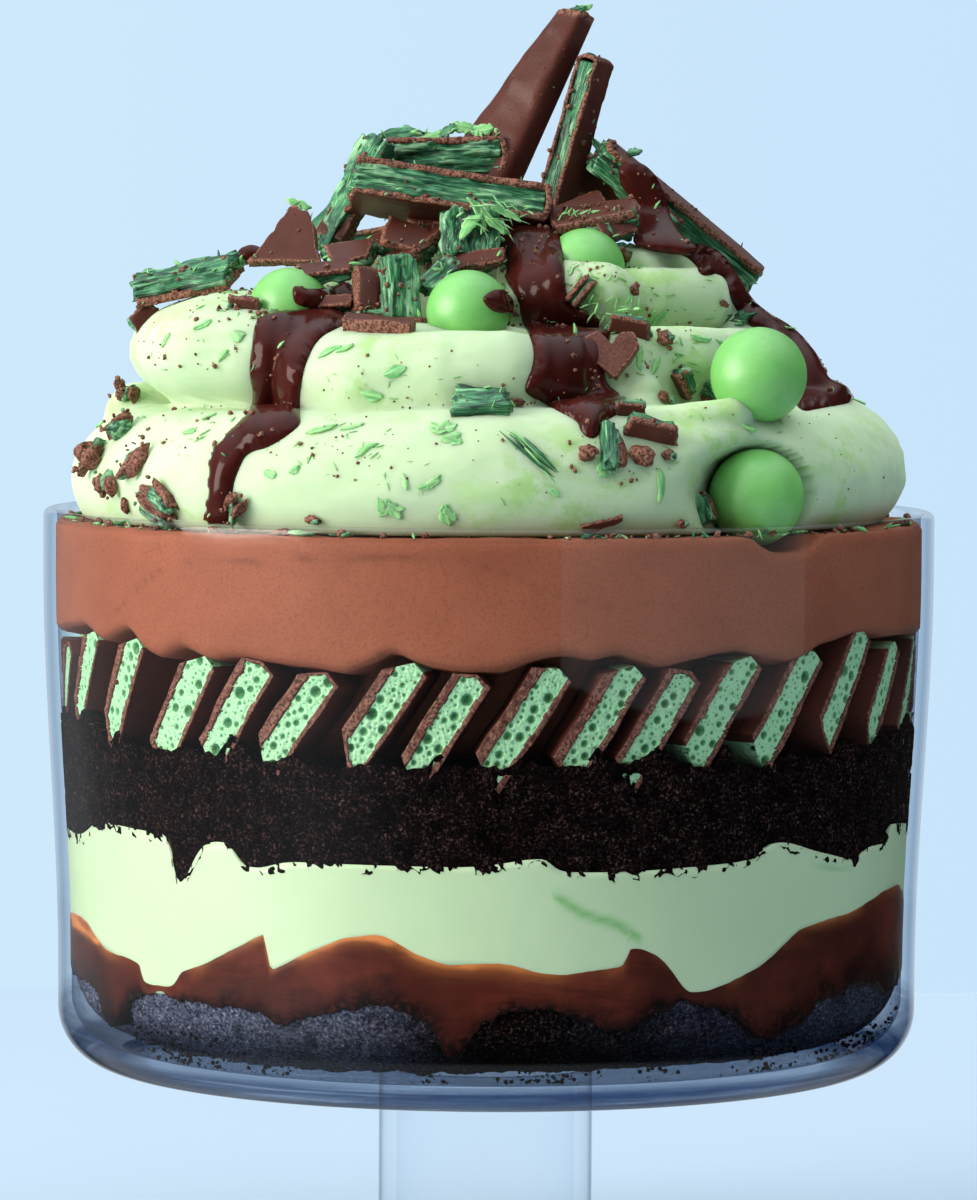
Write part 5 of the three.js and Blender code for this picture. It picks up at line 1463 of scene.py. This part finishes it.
# thin green flakes lying on the cream: x, y, length mm, width mm, turn
FLAKES = [
    (537, 458, 18.0, 3.2, -52), (528, 447, 13.0, 1.6, -48), (445, 430, 6.5, 2.6, 30), (452, 440, 5.5, 2.8, -25), (436, 428, 4.0, 1.8, -60), (385, 508, 5.0, 2.6, 60),
    (394, 510, 5.5, 2.4, -50), (447, 515, 5.6, 2.4, -80), (433, 484, 4.6, 1.4, 35), (430, 483, 6.5, 1.3, 30), (661, 486, 8.5, 1.4, 88), (749, 428, 4.2, 1.8, 4), (862, 395, 3.4, 1.0, 62),
    (330, 352, 6.5, 1.6, 20), (345, 349, 5.0, 1.4, 12), (322, 430, 8.0, 1.4, 12), (352, 426, 6.0, 1.2, 16), (366, 450, 6.5, 1.2, 38), (405, 482, 4.5, 1.2, -75), (372, 395, 6.0, 2.0, -10),
    (395, 372, 6.0, 2.0, 20), (270, 474, 3.6, 1.4, -20), (295, 470, 3.0, 1.4, 30), (604, 470, 4.0, 2.4, -70), (640, 360, 6.0, 1.4, 80), (655, 366, 5.0, 1.2, 60), (700, 340, 6.0, 1.2, 15),
    (722, 344, 5.0, 1.2, 5), (640, 270, 6.0, 1.4, -40), (650, 320, 6.0, 1.6, 70), (660, 318, 5.0, 1.4, 50), (585, 320, 4.0, 1.2, 30), (740, 320, 4.0, 1.6, 70), (205, 330, 5.0, 1.6, 40),
    (238, 340, 4.0, 2.4, -60), (225, 356, 4.0, 1.2, 50), (170, 342, 4.0, 1.2, 60), (555, 493, 3.0, 1.0, -40), (210, 420, 4.0, 1.2, 70), (190, 432, 4.0, 1.2, -30), (96, 420, 2.6, 1.6, 20)]
# drifts of tiny crumbs: x, y, half sizes in the picture, how many, smallest and largest mm, share that is green
DRIFTS = [
    (190, 330, 60, 45, 46, 0.5, 1.5, 0.35), (200, 430, 70, 30, 50, 0.5, 1.7, 0.4), (330, 440, 70, 28, 60, 0.4, 1.4, 0.55), (420, 380, 100, 35, 46, 0.4, 1.2, 0.5), (450, 470, 130, 45, 34, 0.4, 1.2, 0.4),
    (275, 318, 26, 15, 70, 0.6, 2.0, 0.5), (350, 268, 60, 18, 90, 0.6, 2.2, 0.4), (470, 262, 60, 14, 60, 0.6, 1.8, 0.6), (560, 300, 40, 45, 60, 0.5, 1.8, 0.5), (520, 305, 25, 25, 40, 0.8, 2.2, 0.4),
    (660, 300, 60, 40, 36, 0.4, 1.4, 0.5), (655, 355, 60, 25, 54, 0.4, 1.8, 0.6), (620, 455, 60, 30, 40, 0.5, 1.6, 0.5), (760, 415, 70, 18, 20, 0.4, 1.2, 0.4), (800, 470, 90, 40, 18, 0.3, 1.0, 0.3),
    (600, 350, 30, 30, 30, 0.5, 1.6, 0.5), (250, 300, 40, 20, 60, 0.6, 2.0, 0.5), (520, 402, 26, 6, 14, 0.5, 1.6, 0.2), (410, 250, 50, 10, 40, 0.6, 2.0, 0.5), (600, 268, 45, 12, 50, 0.5, 1.6, 0.6)]


def place_bit(x, y, turn_deg, lies, thick, width):
    """A bit's middle and directions, from where the camera sees it on the cream."""
    p = on_cream(np.array([float(x)]), np.array([float(y)]))
    n = cream_normal(p)[0]
    t = math.radians(turn_deg)
    u = np.array([math.cos(t), 0, math.sin(t)])
    u = unit(u - n * (u @ n))
    if lies == "flat":
        return p[0] + n * thick * 0.28, u, n
    return p[0] + n * width * 0.28, u, unit(np.cross(n, u))


def make_toppings():
    fibre, coat = fibre_material(), coat_material("milk_chocolate", lin(66, 30, 22), lin(90, 46, 35))
    mats = (fibre, coat, leaf_material())
    stuck = []                                    # places on the pieces where crumbs cling
    pick = rng(51)
    for i, (name, a, b, face, width, thick, taper, slant, how) in enumerate(PIECES):
        bodies = broken_piece(a, b, face, width, thick, taper, slant, seed=i + 3, **how)
        ob = pieces_object(name + "_broken", bodies, mats)
        ride(ob, name, slot="mint_piece")
        pts, rim = np.concatenate([x[0] for x in bodies]), np.concatenate([x[4] for x in bodies])
        middle = (np.asarray(a) + b) / 2
        want = (rim > 0.55) | (pts[:, 2] > middle[2])
        stuck += list(pts[want][pick.integers(0, want.sum(), int(26 + 2.2 * np.linalg.norm(np.subtract(b, a))))])
    for i, (name, a, b, face, width, thick, taper, slant) in enumerate(PLATES):
        body = chocolate_plate(a, b, face, width, thick, taper, slant, 40 + i)
        ob = pieces_object(name + "_broken", [body], mats)
        ride(ob, name, slot="chocolate")
        stuck += list(body[0][pick.integers(0, len(body[0]), 22)])
    bodies = []
    for i, (kind, first, second, face, width, thick) in enumerate(HEAP):
        a, b = in_view(*first), in_view(*second)
        if kind == "plate":
            new = [chocolate_plate(a, b, face, width, thick, 0.85, 0.25, 300 + i)]
        else:
            new = broken_piece(a, b, face, width, thick, 0.9, 0.3, seed=300 + i, step=0.85, coats=(0, 0) if kind == "green" else (i % 2, 1), coat=thick * 0.3, fibre=1.0, tooth=1.3)
        bodies += new
        pts = np.concatenate([x[0] for x in new])
        stuck += list(pts[pick.integers(0, len(pts), 16)])
    ride(pieces_object("heap_broken_pieces", bodies, mats), slot="mint_piece")
    v, f, loc, rough = tall_piece()
    near = v[(v[:, 1] < 0) & (v[:, 2] < 318)]
    specks = near[pick.integers(0, len(near), 26)]
    fm = np.concatenate([np.full(len(f[0]), 1), np.full(len(f[1]), 1), np.full(len(f[2]), 0), np.full(len(f[3]), 1)])
    ob = mesh_from("piece_tall_coated", v, f, mats, fm, attrs={"rough": rough})
    at = ob.data.attributes.new("local", "FLOAT_VECTOR", "POINT")
    at.data.foreach_set("vector", np.ascontiguousarray(loc * MM, dtype=np.float32).ravel())
    ride(ob, "piece_tall", slot="chocolate")

    # notched chip
    z = unit(CHIP["face"])
    x = -unit(np.cross(np.cross([1, 0.1, 0.12], z), z))
    y = np.cross(z, x)
    line = np.array([[0, -1], [0.95, 0.02], [0.86, 0.62], [0.42, 0.7], [0.06, 0.3], [-0.3, 0.92], [-0.82, 0.8], [-0.98, 0.2]]) * CHIP["size"]
    fine = []
    for a, b in zip(line, np.roll(line, -1, 0)):
        k = max(2, int(np.linalg.norm(b - a) / 0.5))
        fine += [a + (b - a) * i / k for i in range(k)]
    fine = np.array(fine)
    fine = (fine + np.roll(fine, 1, 0) + np.roll(fine, -1, 0)) / 3
    fine = fine * (1 + 0.03 * noise(np.c_[fine, fine[:, 0] * 0], 1.4, 5))[:, None]
    n, c = len(fine), fine.mean(0)
    pts, loc, rough = [], [], []
    for s, h in ((0.5, 1.0), (0.9, 1.0), (0.985, 0.92), (1.0, 0.6), (1.0, -0.6), (0.985, -0.92), (0.9, -1.0), (0.5, -1.0)):
        q = c + (fine - c) * s
        hh = h * CHIP["thick"] / 2 + 0.12 * noise(np.c_[q, q[:, 0] * 0], 3, 8)
        pts.append(np.asarray(CHIP["at"]) + q[:, :1] * x + q[:, 1:] * y + hh[:, None] * z)
        loc.append(np.c_[q, hh])
        rough.append(np.full(n, 1.0 if abs(h) < 0.95 else 0.3))
    v = np.concatenate(pts + [[pts[0].mean(0)], [pts[-1].mean(0)]])
    k = np.arange(n)
    j = (k + 1) % n
    faces = [grid(8, n, wrap=True), np.stack([np.full(n, 8 * n), k, j], -1), np.stack([np.full(n, 8 * n + 1), 7 * n + j, 7 * n + k], -1)]
    ob = mesh_from("chip_notched_plate", v, faces, [fibre, coat], np.ones(10 * n, int)[: sum(len(f) for f in faces)], attrs={"rough": np.concatenate(rough + [[0.3, 0.3]])})
    ride(ob, "chip_notched", slot="chocolate")

    # small bits
    bodies = []
    for i, (kind, x, y, length, width, thick, turned, lies) in enumerate(BITS):
        c, u, w = place_bit(x, y, turned, lies, thick, width)
        a, b = c - u * length / 2, c + u * length / 2
        if kind == "duo":
            new = broken_piece(a, b, w, width, thick, 0.85, 0.3, seed=60 + i, step=0.72, coats=(1, i % 3 == 0), coat=thick * 0.36, fibre=0.9, tooth=1.0)
            pts = np.concatenate([x[0] for x in new])
            stuck += list(pts[pick.integers(0, len(pts), 9)])
            bodies += new
        elif kind == "green":
            bodies += broken_piece(a, b, w, width, thick, 0.9, 0.15, seed=60 + i, step=0.6, coats=(1 if i % 2 == 0 else 0, 0), coat=1.0, fibre=0.8, tooth=0.9)
        elif kind == "stick":
            bodies.append(chocolate_plate(a, b, w, width, thick, 0.9, 0.1, 200 + i, step=0.55))
        elif kind == "plate":
            bodies.append(chocolate_plate(a, b, w, width, thick, 0.4, 0.4, 200 + i, step=0.5))
        elif kind == "rug":
            # a crumbled chunk: ridged plates of coating side by side, with green and dark between them
            side = np.cross(w, u)
            q = rng(2000 + i)
            count = max(3, int(round(width / 1.5)))
            for k in range(count):
                off = (k + 0.5) / count - 0.5
                long = length * q.uniform(0.85, 1.15) * (1 - 0.4 * abs(off))
                at = c + side * off * width * 1.05 + u * q.uniform(-0.16, 0.16) * length + w * q.uniform(-0.14, 0.20) * thick
                bodies.append(lump(at, unit(u + side * q.uniform(-0.22, 0.22)), unit(w + side * q.uniform(-0.5, 0.5)), long, width / count * q.uniform(1.7, 2.3), thick * q.uniform(0.8, 1.25),
                                   2100 + 11 * i + k, GREEN if (k + i) % 4 == 1 else BROWN, 2, 1.0, 0.10))
            for k in range(int(3 + length)):
                at = c + u * q.uniform(-0.55, 0.55) * length + side * q.uniform(-0.6, 0.6) * width + w * q.uniform(0.1, 0.6) * thick
                bodies.append(crumb(at, q.uniform(0.6, 1.7), 2600 + 31 * i + k, GREEN if q.random() < 0.2 else BROWN, 0.75, 0))
        else:
            bodies.append(lump(c, u, w, length, width, thick, 900 + 7 * i, BROWN, 2, 1.0, 0.05))
            bodies.append(lump(c + u * length * 0.2 + w * thick * 0.2, u, w, length * 0.6, width * 0.7, thick * 0.8, 901 + 7 * i, GREEN if i % 3 == 0 else BROWN, 2))
    ob = pieces_object("small_broken_bits", bodies, mats)
    ride(ob, slot="mint_piece")

    # flakes lying on the cream, and torn ends of the pieces
    bodies = []
    for i, (x, y, length, width, turned) in enumerate(FLAKES):
        c, u, n = place_bit(x, y, turned, "flat", 0.3, width)
        side = np.cross(n, u)
        r = rng(1300 + i)
        if length > 9:
            for k in range(5):
                d = unit(u + side * r.uniform(-0.10, 0.10))
                bodies.append(splinter(c + side * width * (k - 2) / 5 + u * r.uniform(-0.14, 0.14) * length + n * 0.25, d, length * r.uniform(0.6, 1.0), width / 5 * 0.8, 0.0, 1300 + 9 * i + k, LEAF if k % 2 else GREEN, flat=0.9))
        else:
            bodies.append(leaf(c + n * 0.12, u, n, length * 0.95, width * 1.25, 1300 + i))
            if width > 2.2:
                bodies.append(leaf(c + side * width * 0.35 + n * 0.2, unit(u + 0.8 * side), n, length * 0.7, width * 0.8, 1500 + i))
    up = np.array([0, 0, 1.0])
    for x, y, depth, long, wide, dx, dz, tip, kind in (
            (402, 133, -4, 10.5, 3.6, 1, 0.10, 0.5, GREEN), (432, 136, -4, 7, 3, 1, 0.3, 0.3, LEAF), (447, 131, -4, 5, 3, 0.8, 0.6, 0.4, GREEN), (463, 128, -3, 6, 3.4, 1, -0.2, 0.5, LEAF), (482, 130, -3, 6, 3.6, 1, 0.2, 0.2, LEAF),
            (504, 132, -3, 5, 3, 1, -0.4, 0.3, LEAF), (299, 204, -14, 6.2, 2.2, 1, -0.35, 0.3, LEAF), (576, 10, 3, 5.5, 2.4, 1, 0.3, 0.4, GREEN), (584, 8, 4, 4.4, 2.2, 1, 0.2, 0.4, LEAF), (634, 152, -3, 4, 2.2, 1, 0.2, 0.4, GREEN),
            (604, 152, 1, 9, 3.0, 0.7, -0.72, 0.5, GREEN), (494, 222, -40, 9, 2.4, 0.7, -0.6, 0.3, LEAF), (478, 212, -40, 9, 2.2, 0.5, -0.8, 0.3, LEAF), (506, 214, -38, 8, 2.0, 0.9, -0.4, 0.3, LEAF), (470, 226, -41, 8, 3, 0.6, 0.7, 0.2, LEAF)):
        c = in_view(x, y, depth)
        bodies.append(leaf(c, np.array([dx, 0.1, dz]), unit(np.array([-dz * tip, -0.8, 0.6])), long, wide, int(x * 7 + y), kind, 0.9))
    bodies += tuft(in_view(455, 132, -4), (0.8, 0, 0.5), 10, (11, 3, 1.0), 3, 0.4, 32, LEAF)
    bodies += tuft(in_view(488, 218, -40), (0.6, -0.2, -0.6), 26, (5, 2, 4), 5.5, 0.34, 36, LEAF)
    bodies += tuft(in_view(515, 214, -34), (0.8, -0.3, -0.3), 14, (4, 2, 2.0), 4.5, 0.34, 37, LEAF)
    bodies += tuft(in_view(592, 214, -29), (0.3, -0.2, 0.8), 30, (8, 1.5, 1.2), 2.6, 0.34, 40, LEAF)
    bodies += tuft(in_view(440, 276, -48), (0.6, -0.2, 0.5), 22, (3.5, 2, 3.5), 4.0, 0.4, 38, LEAF)
    bodies += tuft(in_view(190, 275, -23), (0.7, 0, 0.6), 22, (6, 2, 1.2), 2.6, 0.34, 41, LEAF)
    bodies += tuft(in_view(612, 310, -50), (0.5, -0.4, 0.6), 26, (7, 2, 3), 4.0, 0.34, 42, LEAF)
    bodies += tuft(in_view(738, 319, -26), (0.8, -0.2, 0.5), 12, (2.4, 1.5, 1.4), 3.6, 0.4, 43, GREEN)
    ob = pieces_object("mint_splinters", bodies, mats)
    ride(ob, slot="mint_piece")

    # crumbs
    r = rng(77)
    bodies = []
    xs, ys, size, green = [], [], [], []
    for x, y, w, h, count, small, large, share in DRIFTS:
        a, q = r.uniform(0, TAU, count), np.sqrt(r.random(count))
        xs.append(x + w * q * np.cos(a))
        ys.append(y + h * q * np.sin(a))
        size.append(small + (large - small) * r.random(count) ** 2.2)
        green.append(r.random(count) < share)
    xs, ys, size, green = map(np.concatenate, (xs, ys, size, green))
    at = on_cream(xs, ys)
    # the back has its own, spread evenly
    back_a, back_u = r.uniform(95, 265, 220), np.radians(r.uniform(4, 70, 220))
    d = polar(np.cos(back_u), back_a, np.sin(back_u))
    at = np.concatenate([at, np.array([0, 0, EYE]) + cream_reach(d)[:, None] * d])
    size = np.concatenate([size, 0.4 + 1.6 * r.random(220) ** 2])
    green = np.concatenate([green, r.random(220) < 0.5])
    nrm = cream_normal(at)
    for i in range(len(at)):
        if green[i]:
            t = unit(np.cross(nrm[i], r.normal(size=3)))
            bodies.append(splinter(at[i] + nrm[i] * 0.04, t, size[i] * 2.2, size[i] * 0.42, 0.0, 4000 + i, LEAF, flat=0.35))
        else:
            bodies.append(crumb(at[i] + nrm[i] * size[i] * 0.18, size[i], 5000 + i, BROWN, 0.7, 1 if size[i] > 1.0 else 0))
    for i, c in enumerate(stuck + [x for x in specks]):
        tall = i >= len(stuck)
        k = 0.4 + (0.35 if tall else 1.5) * r.random() ** 2.4
        c = c + np.array([0, -0.1, 0.12]) * k
        if r.random() < (0.15 if tall else 0.36):
            bodies.append(splinter(c, r.normal(size=3), k * 2.4, k * 0.3, r.uniform(0, 3), 9000 + i, LEAF if r.random() < 0.6 else GREEN))
        else:
            bodies.append(crumb(c, k, 9000 + i, BROWN, 0.75, 1 if k > 1.1 else 0))
    for i, c in enumerate(SAUCE_TOP):
        k = 0.4 + 1.5 * r.random() ** 2.6
        if r.random() < 0.3:
            bodies.append(splinter(c, r.normal(size=3) * [1, 0.5, 1], k * 2.6, k * 0.3, r.uniform(0, 3), 12000 + i, LEAF))
        else:
            bodies.append(crumb(c, k, 12000 + i, BROWN, 0.75, 1 if k > 1.1 else 0))
    # a ring of them on the mousse, at the glass
    for i in range(330):
        deg = r.uniform(-100, 100) if i < 230 else r.uniform(0, 360)
        dense = 1.0 if (-62 < deg < -20 or 8 < deg < 60) else 0.45
        if r.random() > dense:
            continue
        k = 0.6 + 2.2 * r.random() ** 2
        c = polar(r.uniform(103.4, 107.2), deg, MOUSSE_TOP + 0.2 + k * 0.2)
        if r.random() < 0.5:
            bodies.append(crumb(c, k, 7000 + i, BROWN, 0.75, 1))
        else:
            bodies.append(splinter(c, r.normal(size=3) * [1, 1, 0.3], k * 1.8, k * 0.3, r.uniform(0, 3), 7000 + i, LEAF if r.random() < 0.5 else GREEN))
    ob = pieces_object("crumbs_and_dust", bodies, mats)
    ride(ob, slot="mint_piece")


# sauce by the outline in which the camera sees each run, with its thickness in mm and how far in the picture its edge takes to rise
SAUCE = {
    "left": (2.3, 10, [(256, 321), (253, 334), (252, 348), (249.5, 364), (249.5, 376), (253, 391), (252.5, 401), (249.5, 413), (243, 422), (233, 432), (218, 445), (211.5, 456), (209, 469), (210, 489), (207, 507), (204, 524),
                      (234, 524), (233, 508), (232, 496), (234, 482), (239, 469), (244.5, 457), (253, 451), (267, 448), (281, 440), (292, 432), (301, 424), (300, 416), (299.5, 398), (302, 380), (305, 366), (310.5, 353),
                      (315, 344), (324, 334.5), (335.5, 329), (349, 323), (357, 315), (350, 306), (325, 306), (295, 310), (270, 313)]),
    "pool": (1.8, 7, [(293, 284), (310, 290), (330, 287), (352, 283), (360, 296), (353, 309), (330, 311), (310, 308), (296, 305), (292, 296)]),
    "beside": (2.2, 7, [(356, 302), (366, 298), (380, 303), (385, 315), (380, 327), (366, 327), (356, 318)]),
    "centre": (2.5, 10, [(500, 228), (500, 247), (507, 261), (506, 279), (511, 289), (520, 303), (521, 320), (529, 334), (534, 350), (533, 366), (527, 380), (524, 391), (532, 398), (544, 402), (556, 410), (570, 417), (578, 422),
                         (580, 430), (586, 437), (594, 439), (600, 434), (604, 422), (618, 414), (630, 408), (625, 400), (615, 391), (607, 384), (604, 370), (606, 350), (612, 334), (604, 322), (590, 314), (575, 308),
                         (567, 298), (565, 280), (564, 258), (560, 240), (559, 228)]),
    "on_sweet": (1.3, 5, [(482, 298), (490, 291), (499, 289), (508, 293), (515, 303), (512, 313), (503, 314), (492, 311), (485, 304)]),
    "right": (2.2, 9, [(631, 240), (645, 242), (668, 243), (691, 243), (708, 246), (720, 251), (731, 264), (743, 284), (754, 301), (769, 313), (789, 324), (803, 336), (814, 350), (823, 373), (834, 383), (849, 390), (855, 397),
                       (851, 403), (834, 406), (817, 409), (803, 412), (793, 402), (784, 372), (774, 346), (765, 333), (757, 329), (746, 324), (738, 312), (731, 301), (729, 290), (726, 279), (717, 273), (709, 276),
                       (700, 275), (696, 265), (686, 256), (668, 252), (646, 249)]),
    "over": (2.0, 8, [(617, 167), (628, 160), (643, 163), (654, 173), (659, 181), (666, 199), (670, 216), (680, 233), (691, 243), (700, 250), (690, 256), (668, 254), (645, 250), (631, 243), (637, 227), (636, 210), (629, 196), (621, 187)])}
# where it stands thicker: x, y, reach in the picture, extra mm
SWELLS = [(594, 426, 16, 1.0), (276, 430, 26, 0.8), (219, 512, 16, 0.6), (706, 268, 13, 0.9), (838, 397, 16, 0.8), (570, 395, 26, 0.5), (280, 350, 28, 0.5), (812, 372, 20, 0.7)]
SAUCE_TOP = []


def sauce_bed(p):
    """Distance from what the sauce runs over: the cream and the sweets."""
    f = cream_field(p) - cream_ripple(p) * smooth(0, 12, p[..., 2] - EYE)
    for _, x, y, z, r in BALLS[:3]:
        d = np.linalg.norm(p - [x, y, z], axis=-1) - r
        h = np.maximum(2.0 - np.abs(f - d), 0) / 2.0
        f = np.minimum(f, d) - h * h * 0.5
    return f


def round_line(points, times=2):
    p = np.asarray(points, float)
    for _ in range(times):
        q = np.roll(p, -1, 0)
        p = np.stack([p * 0.75 + q * 0.25, p * 0.25 + q * 0.75], 1).reshape(-1, 2)
    return p


def to_line(pts, line):
    """How far inside a closed line each point is, and the line's nearest place."""
    best, near, inside = np.full(len(pts), 1e9), np.zeros_like(pts), np.zeros(len(pts), bool)
    for a, b in zip(line, np.roll(line, -1, 0)):
        d = b - a
        q = a + np.clip(((pts - a) @ d) / max(d @ d, 1e-9), 0, 1)[:, None] * d
        dist = np.linalg.norm(pts - q, axis=1)
        m = dist < best
        best[m], near[m] = dist[m], q[m]
        if a[1] != b[1]:
            inside ^= ((a[1] > pts[:, 1]) != (b[1] > pts[:, 1])) & (pts[:, 0] < a[0] + (pts[:, 1] - a[1]) / (b[1] - a[1]) * d[0])
    return np.where(inside, best, -best), near


def sauce_sheet(name, thick, rise, outline, step=2.2):
    """A closed skin of sauce whose outline is the one given, lying on the cream."""
    line = round_line(outline)
    (x0, y0), (x1, y1) = line.min(0) - step, line.max(0) + step
    X, Y = np.meshgrid(np.arange(x0, x1 + step, step), np.arange(y0, y1 + step, step))
    ny, nx = X.shape
    pts = np.stack([X, Y], -1).reshape(-1, 2)
    sd, near = to_line(pts, line)
    S = sd.reshape(ny, nx)
    keep = (S[:-1, :-1] + S[1:, :-1] + S[:-1, 1:] + S[1:, 1:]) > 0
    for _ in range(12):
        a, b, c, d = keep[:-1, :-1], keep[:-1, 1:], keep[1:, :-1], keep[1:, 1:]
        one, two = a & d & ~b & ~c, b & c & ~a & ~d
        if not (one | two).any():
            break
        keep[:-1, 1:] |= one
        keep[:-1, :-1] |= two
    around = np.zeros((ny, nx), int)
    for i in (0, 1):
        for j in (0, 1):
            around[i:ny - 1 + i, j:nx - 1 + j] += keep
    around = around.ravel()
    rim = (around > 0) & (around < 4)
    pts[rim], sd = near[rim], np.where(rim, 0, sd)
    used = around > 0
    o, d = sight(pts[:, 0], pts[:, 1])
    if name == "over":
        depth = -13.4 - 15 * smooth(205, 250, pts[:, 1])
        t = (depth - o[1]) / d[:, 1]
        base, grad, miss = o + t[:, None] * d, -d, np.zeros(len(pts))
        floor = base + d * 2.6
    else:
        t = np.full(len(pts), 1470.0)
        best, at = np.full(len(pts), 1e9), t.copy()
        for _ in range(90):
            f = sauce_bed(o + t[:, None] * d)
            at = np.where(f < best, t, at)
            best = np.minimum(best, f)
            t = np.minimum(t + np.maximum(f * 0.75, 0.02) * (f > 0.02), 1760.0)
        miss = np.maximum(best - 0.05, 0)
        base = o + at[:, None] * d
        e = 0.5
        grad = unit(np.stack([sauce_bed(base + np.eye(3)[i] * e) - sauce_bed(base - np.eye(3)[i] * e) for i in range(3)], -1))
        floor = base - grad * (miss + 0.8)[:, None]
        m = smooth(0, 2.0, miss)[:, None]
        grad = unit(grad * (1 - m) - d * m)
    x = np.clip(sd / rise, 0, 1)
    high = thick * np.sqrt(1 - (1 - x) ** 2) * (1 + 0.16 * noise(np.c_[pts * [1, 0.4], sd * 0], 16, 71))
    for sx, sy, reach, more in SWELLS:
        high = high + more * x * np.exp(-((pts[:, 0] - sx) ** 2 + (pts[:, 1] - sy) ** 2) / reach ** 2)
    high = high * (1 + 0.22 * smooth(3, 12, sd) * noise(np.c_[pts * [1.3, 0.3], sd * 0], 9, 73))
    top = base + grad * (0.12 + high)[:, None]
    # let it flow out evenly
    grid_top = top.reshape(ny, nx, 3)
    free = ((around == 4) & (sd > step)).reshape(ny, nx)
    for _ in range(6):
        mean = (grid_top[:-2, 1:-1] + grid_top[2:, 1:-1] + grid_top[1:-1, :-2] + grid_top[1:-1, 2:]) / 4
        grid_top[1:-1, 1:-1] = np.where(free[1:-1, 1:-1, None], mean, grid_top[1:-1, 1:-1])
    top = grid_top.reshape(-1, 3)
    number = np.full(len(pts), -1)
    number[used] = np.arange(used.sum())
    n = int(used.sum())
    r, c = np.nonzero(keep)
    q = np.stack([r * nx + c, (r + 1) * nx + c, (r + 1) * nx + c + 1, r * nx + c + 1], -1)
    q = number[q]
    edges = np.concatenate([q[:, [i, (i + 1) % 4]] for i in range(4)])
    key, back_key = edges[:, 0].astype(np.int64) * n + edges[:, 1], edges[:, 1].astype(np.int64) * n + edges[:, 0]
    border = edges[~np.isin(key, back_key)]
    wall = np.stack([border[:, 1], border[:, 0], border[:, 0] + n, border[:, 1] + n], -1)
    v = np.concatenate([top[used], floor[used]])
    inner = top[used][sd[used] > 2.5]
    pick = rng(len(pts))
    SAUCE_TOP.extend(inner[pick.integers(0, len(inner), int(len(inner) * {"centre": 0.026, "over": 0.03}.get(name, 0.014)))])
    return v, [q, q[:, ::-1] + n, wall]


def sauce_material():
    n = Nodes("dark_chocolate_sauce", Roughness=0.17, Specular_IOR_Level=0.13, Coat_Weight=0.07, Coat_Roughness=0.05)
    n.set(n.bsdf, "Specular Tint", (1.0, 0.86, 0.82, 1.0))
    cloud, soft = n.noise(60, 3, 0.5), n.noise(160, 2, 0.5)
    c = n.ramp(cloud, [(0.3, lin(52, 17, 13)), (0.7, lin(70, 25, 20))])
    return n.use(Base_Color=c, Normal=n.bump(soft, 0.06, 0.001))


def make_sauce():
    parts = [sauce_sheet(name, *how) for name, how in SAUCE.items()]
    # drops that ran behind the left plate
    v, f = ICO[3]
    for x, y, depth, size in ((251, 255, -8, (3.6, 3.0, 2.5)), (244, 258, -9, (2.2, 2.0, 1.8))):
        parts.append((in_view(x, y, depth) + v * size * (1 + 0.06 * noise(v * 3, 1.5, 7))[:, None], [f]))
    v, f = join_parts(parts)
    f = [x for x in f if x.shape[1] == 4] + [x for x in f if x.shape[1] == 3]
    ob = mesh_from("dark_sauce_runs", v, f, [sauce_material()])
    ride(ob, slot="chocolate")


# ================================================================ run
make_camera()
make_stage()
make_glass()
make_fillings()
make_bars()
make_cream()
make_balls()
make_sauce()
make_toppings()
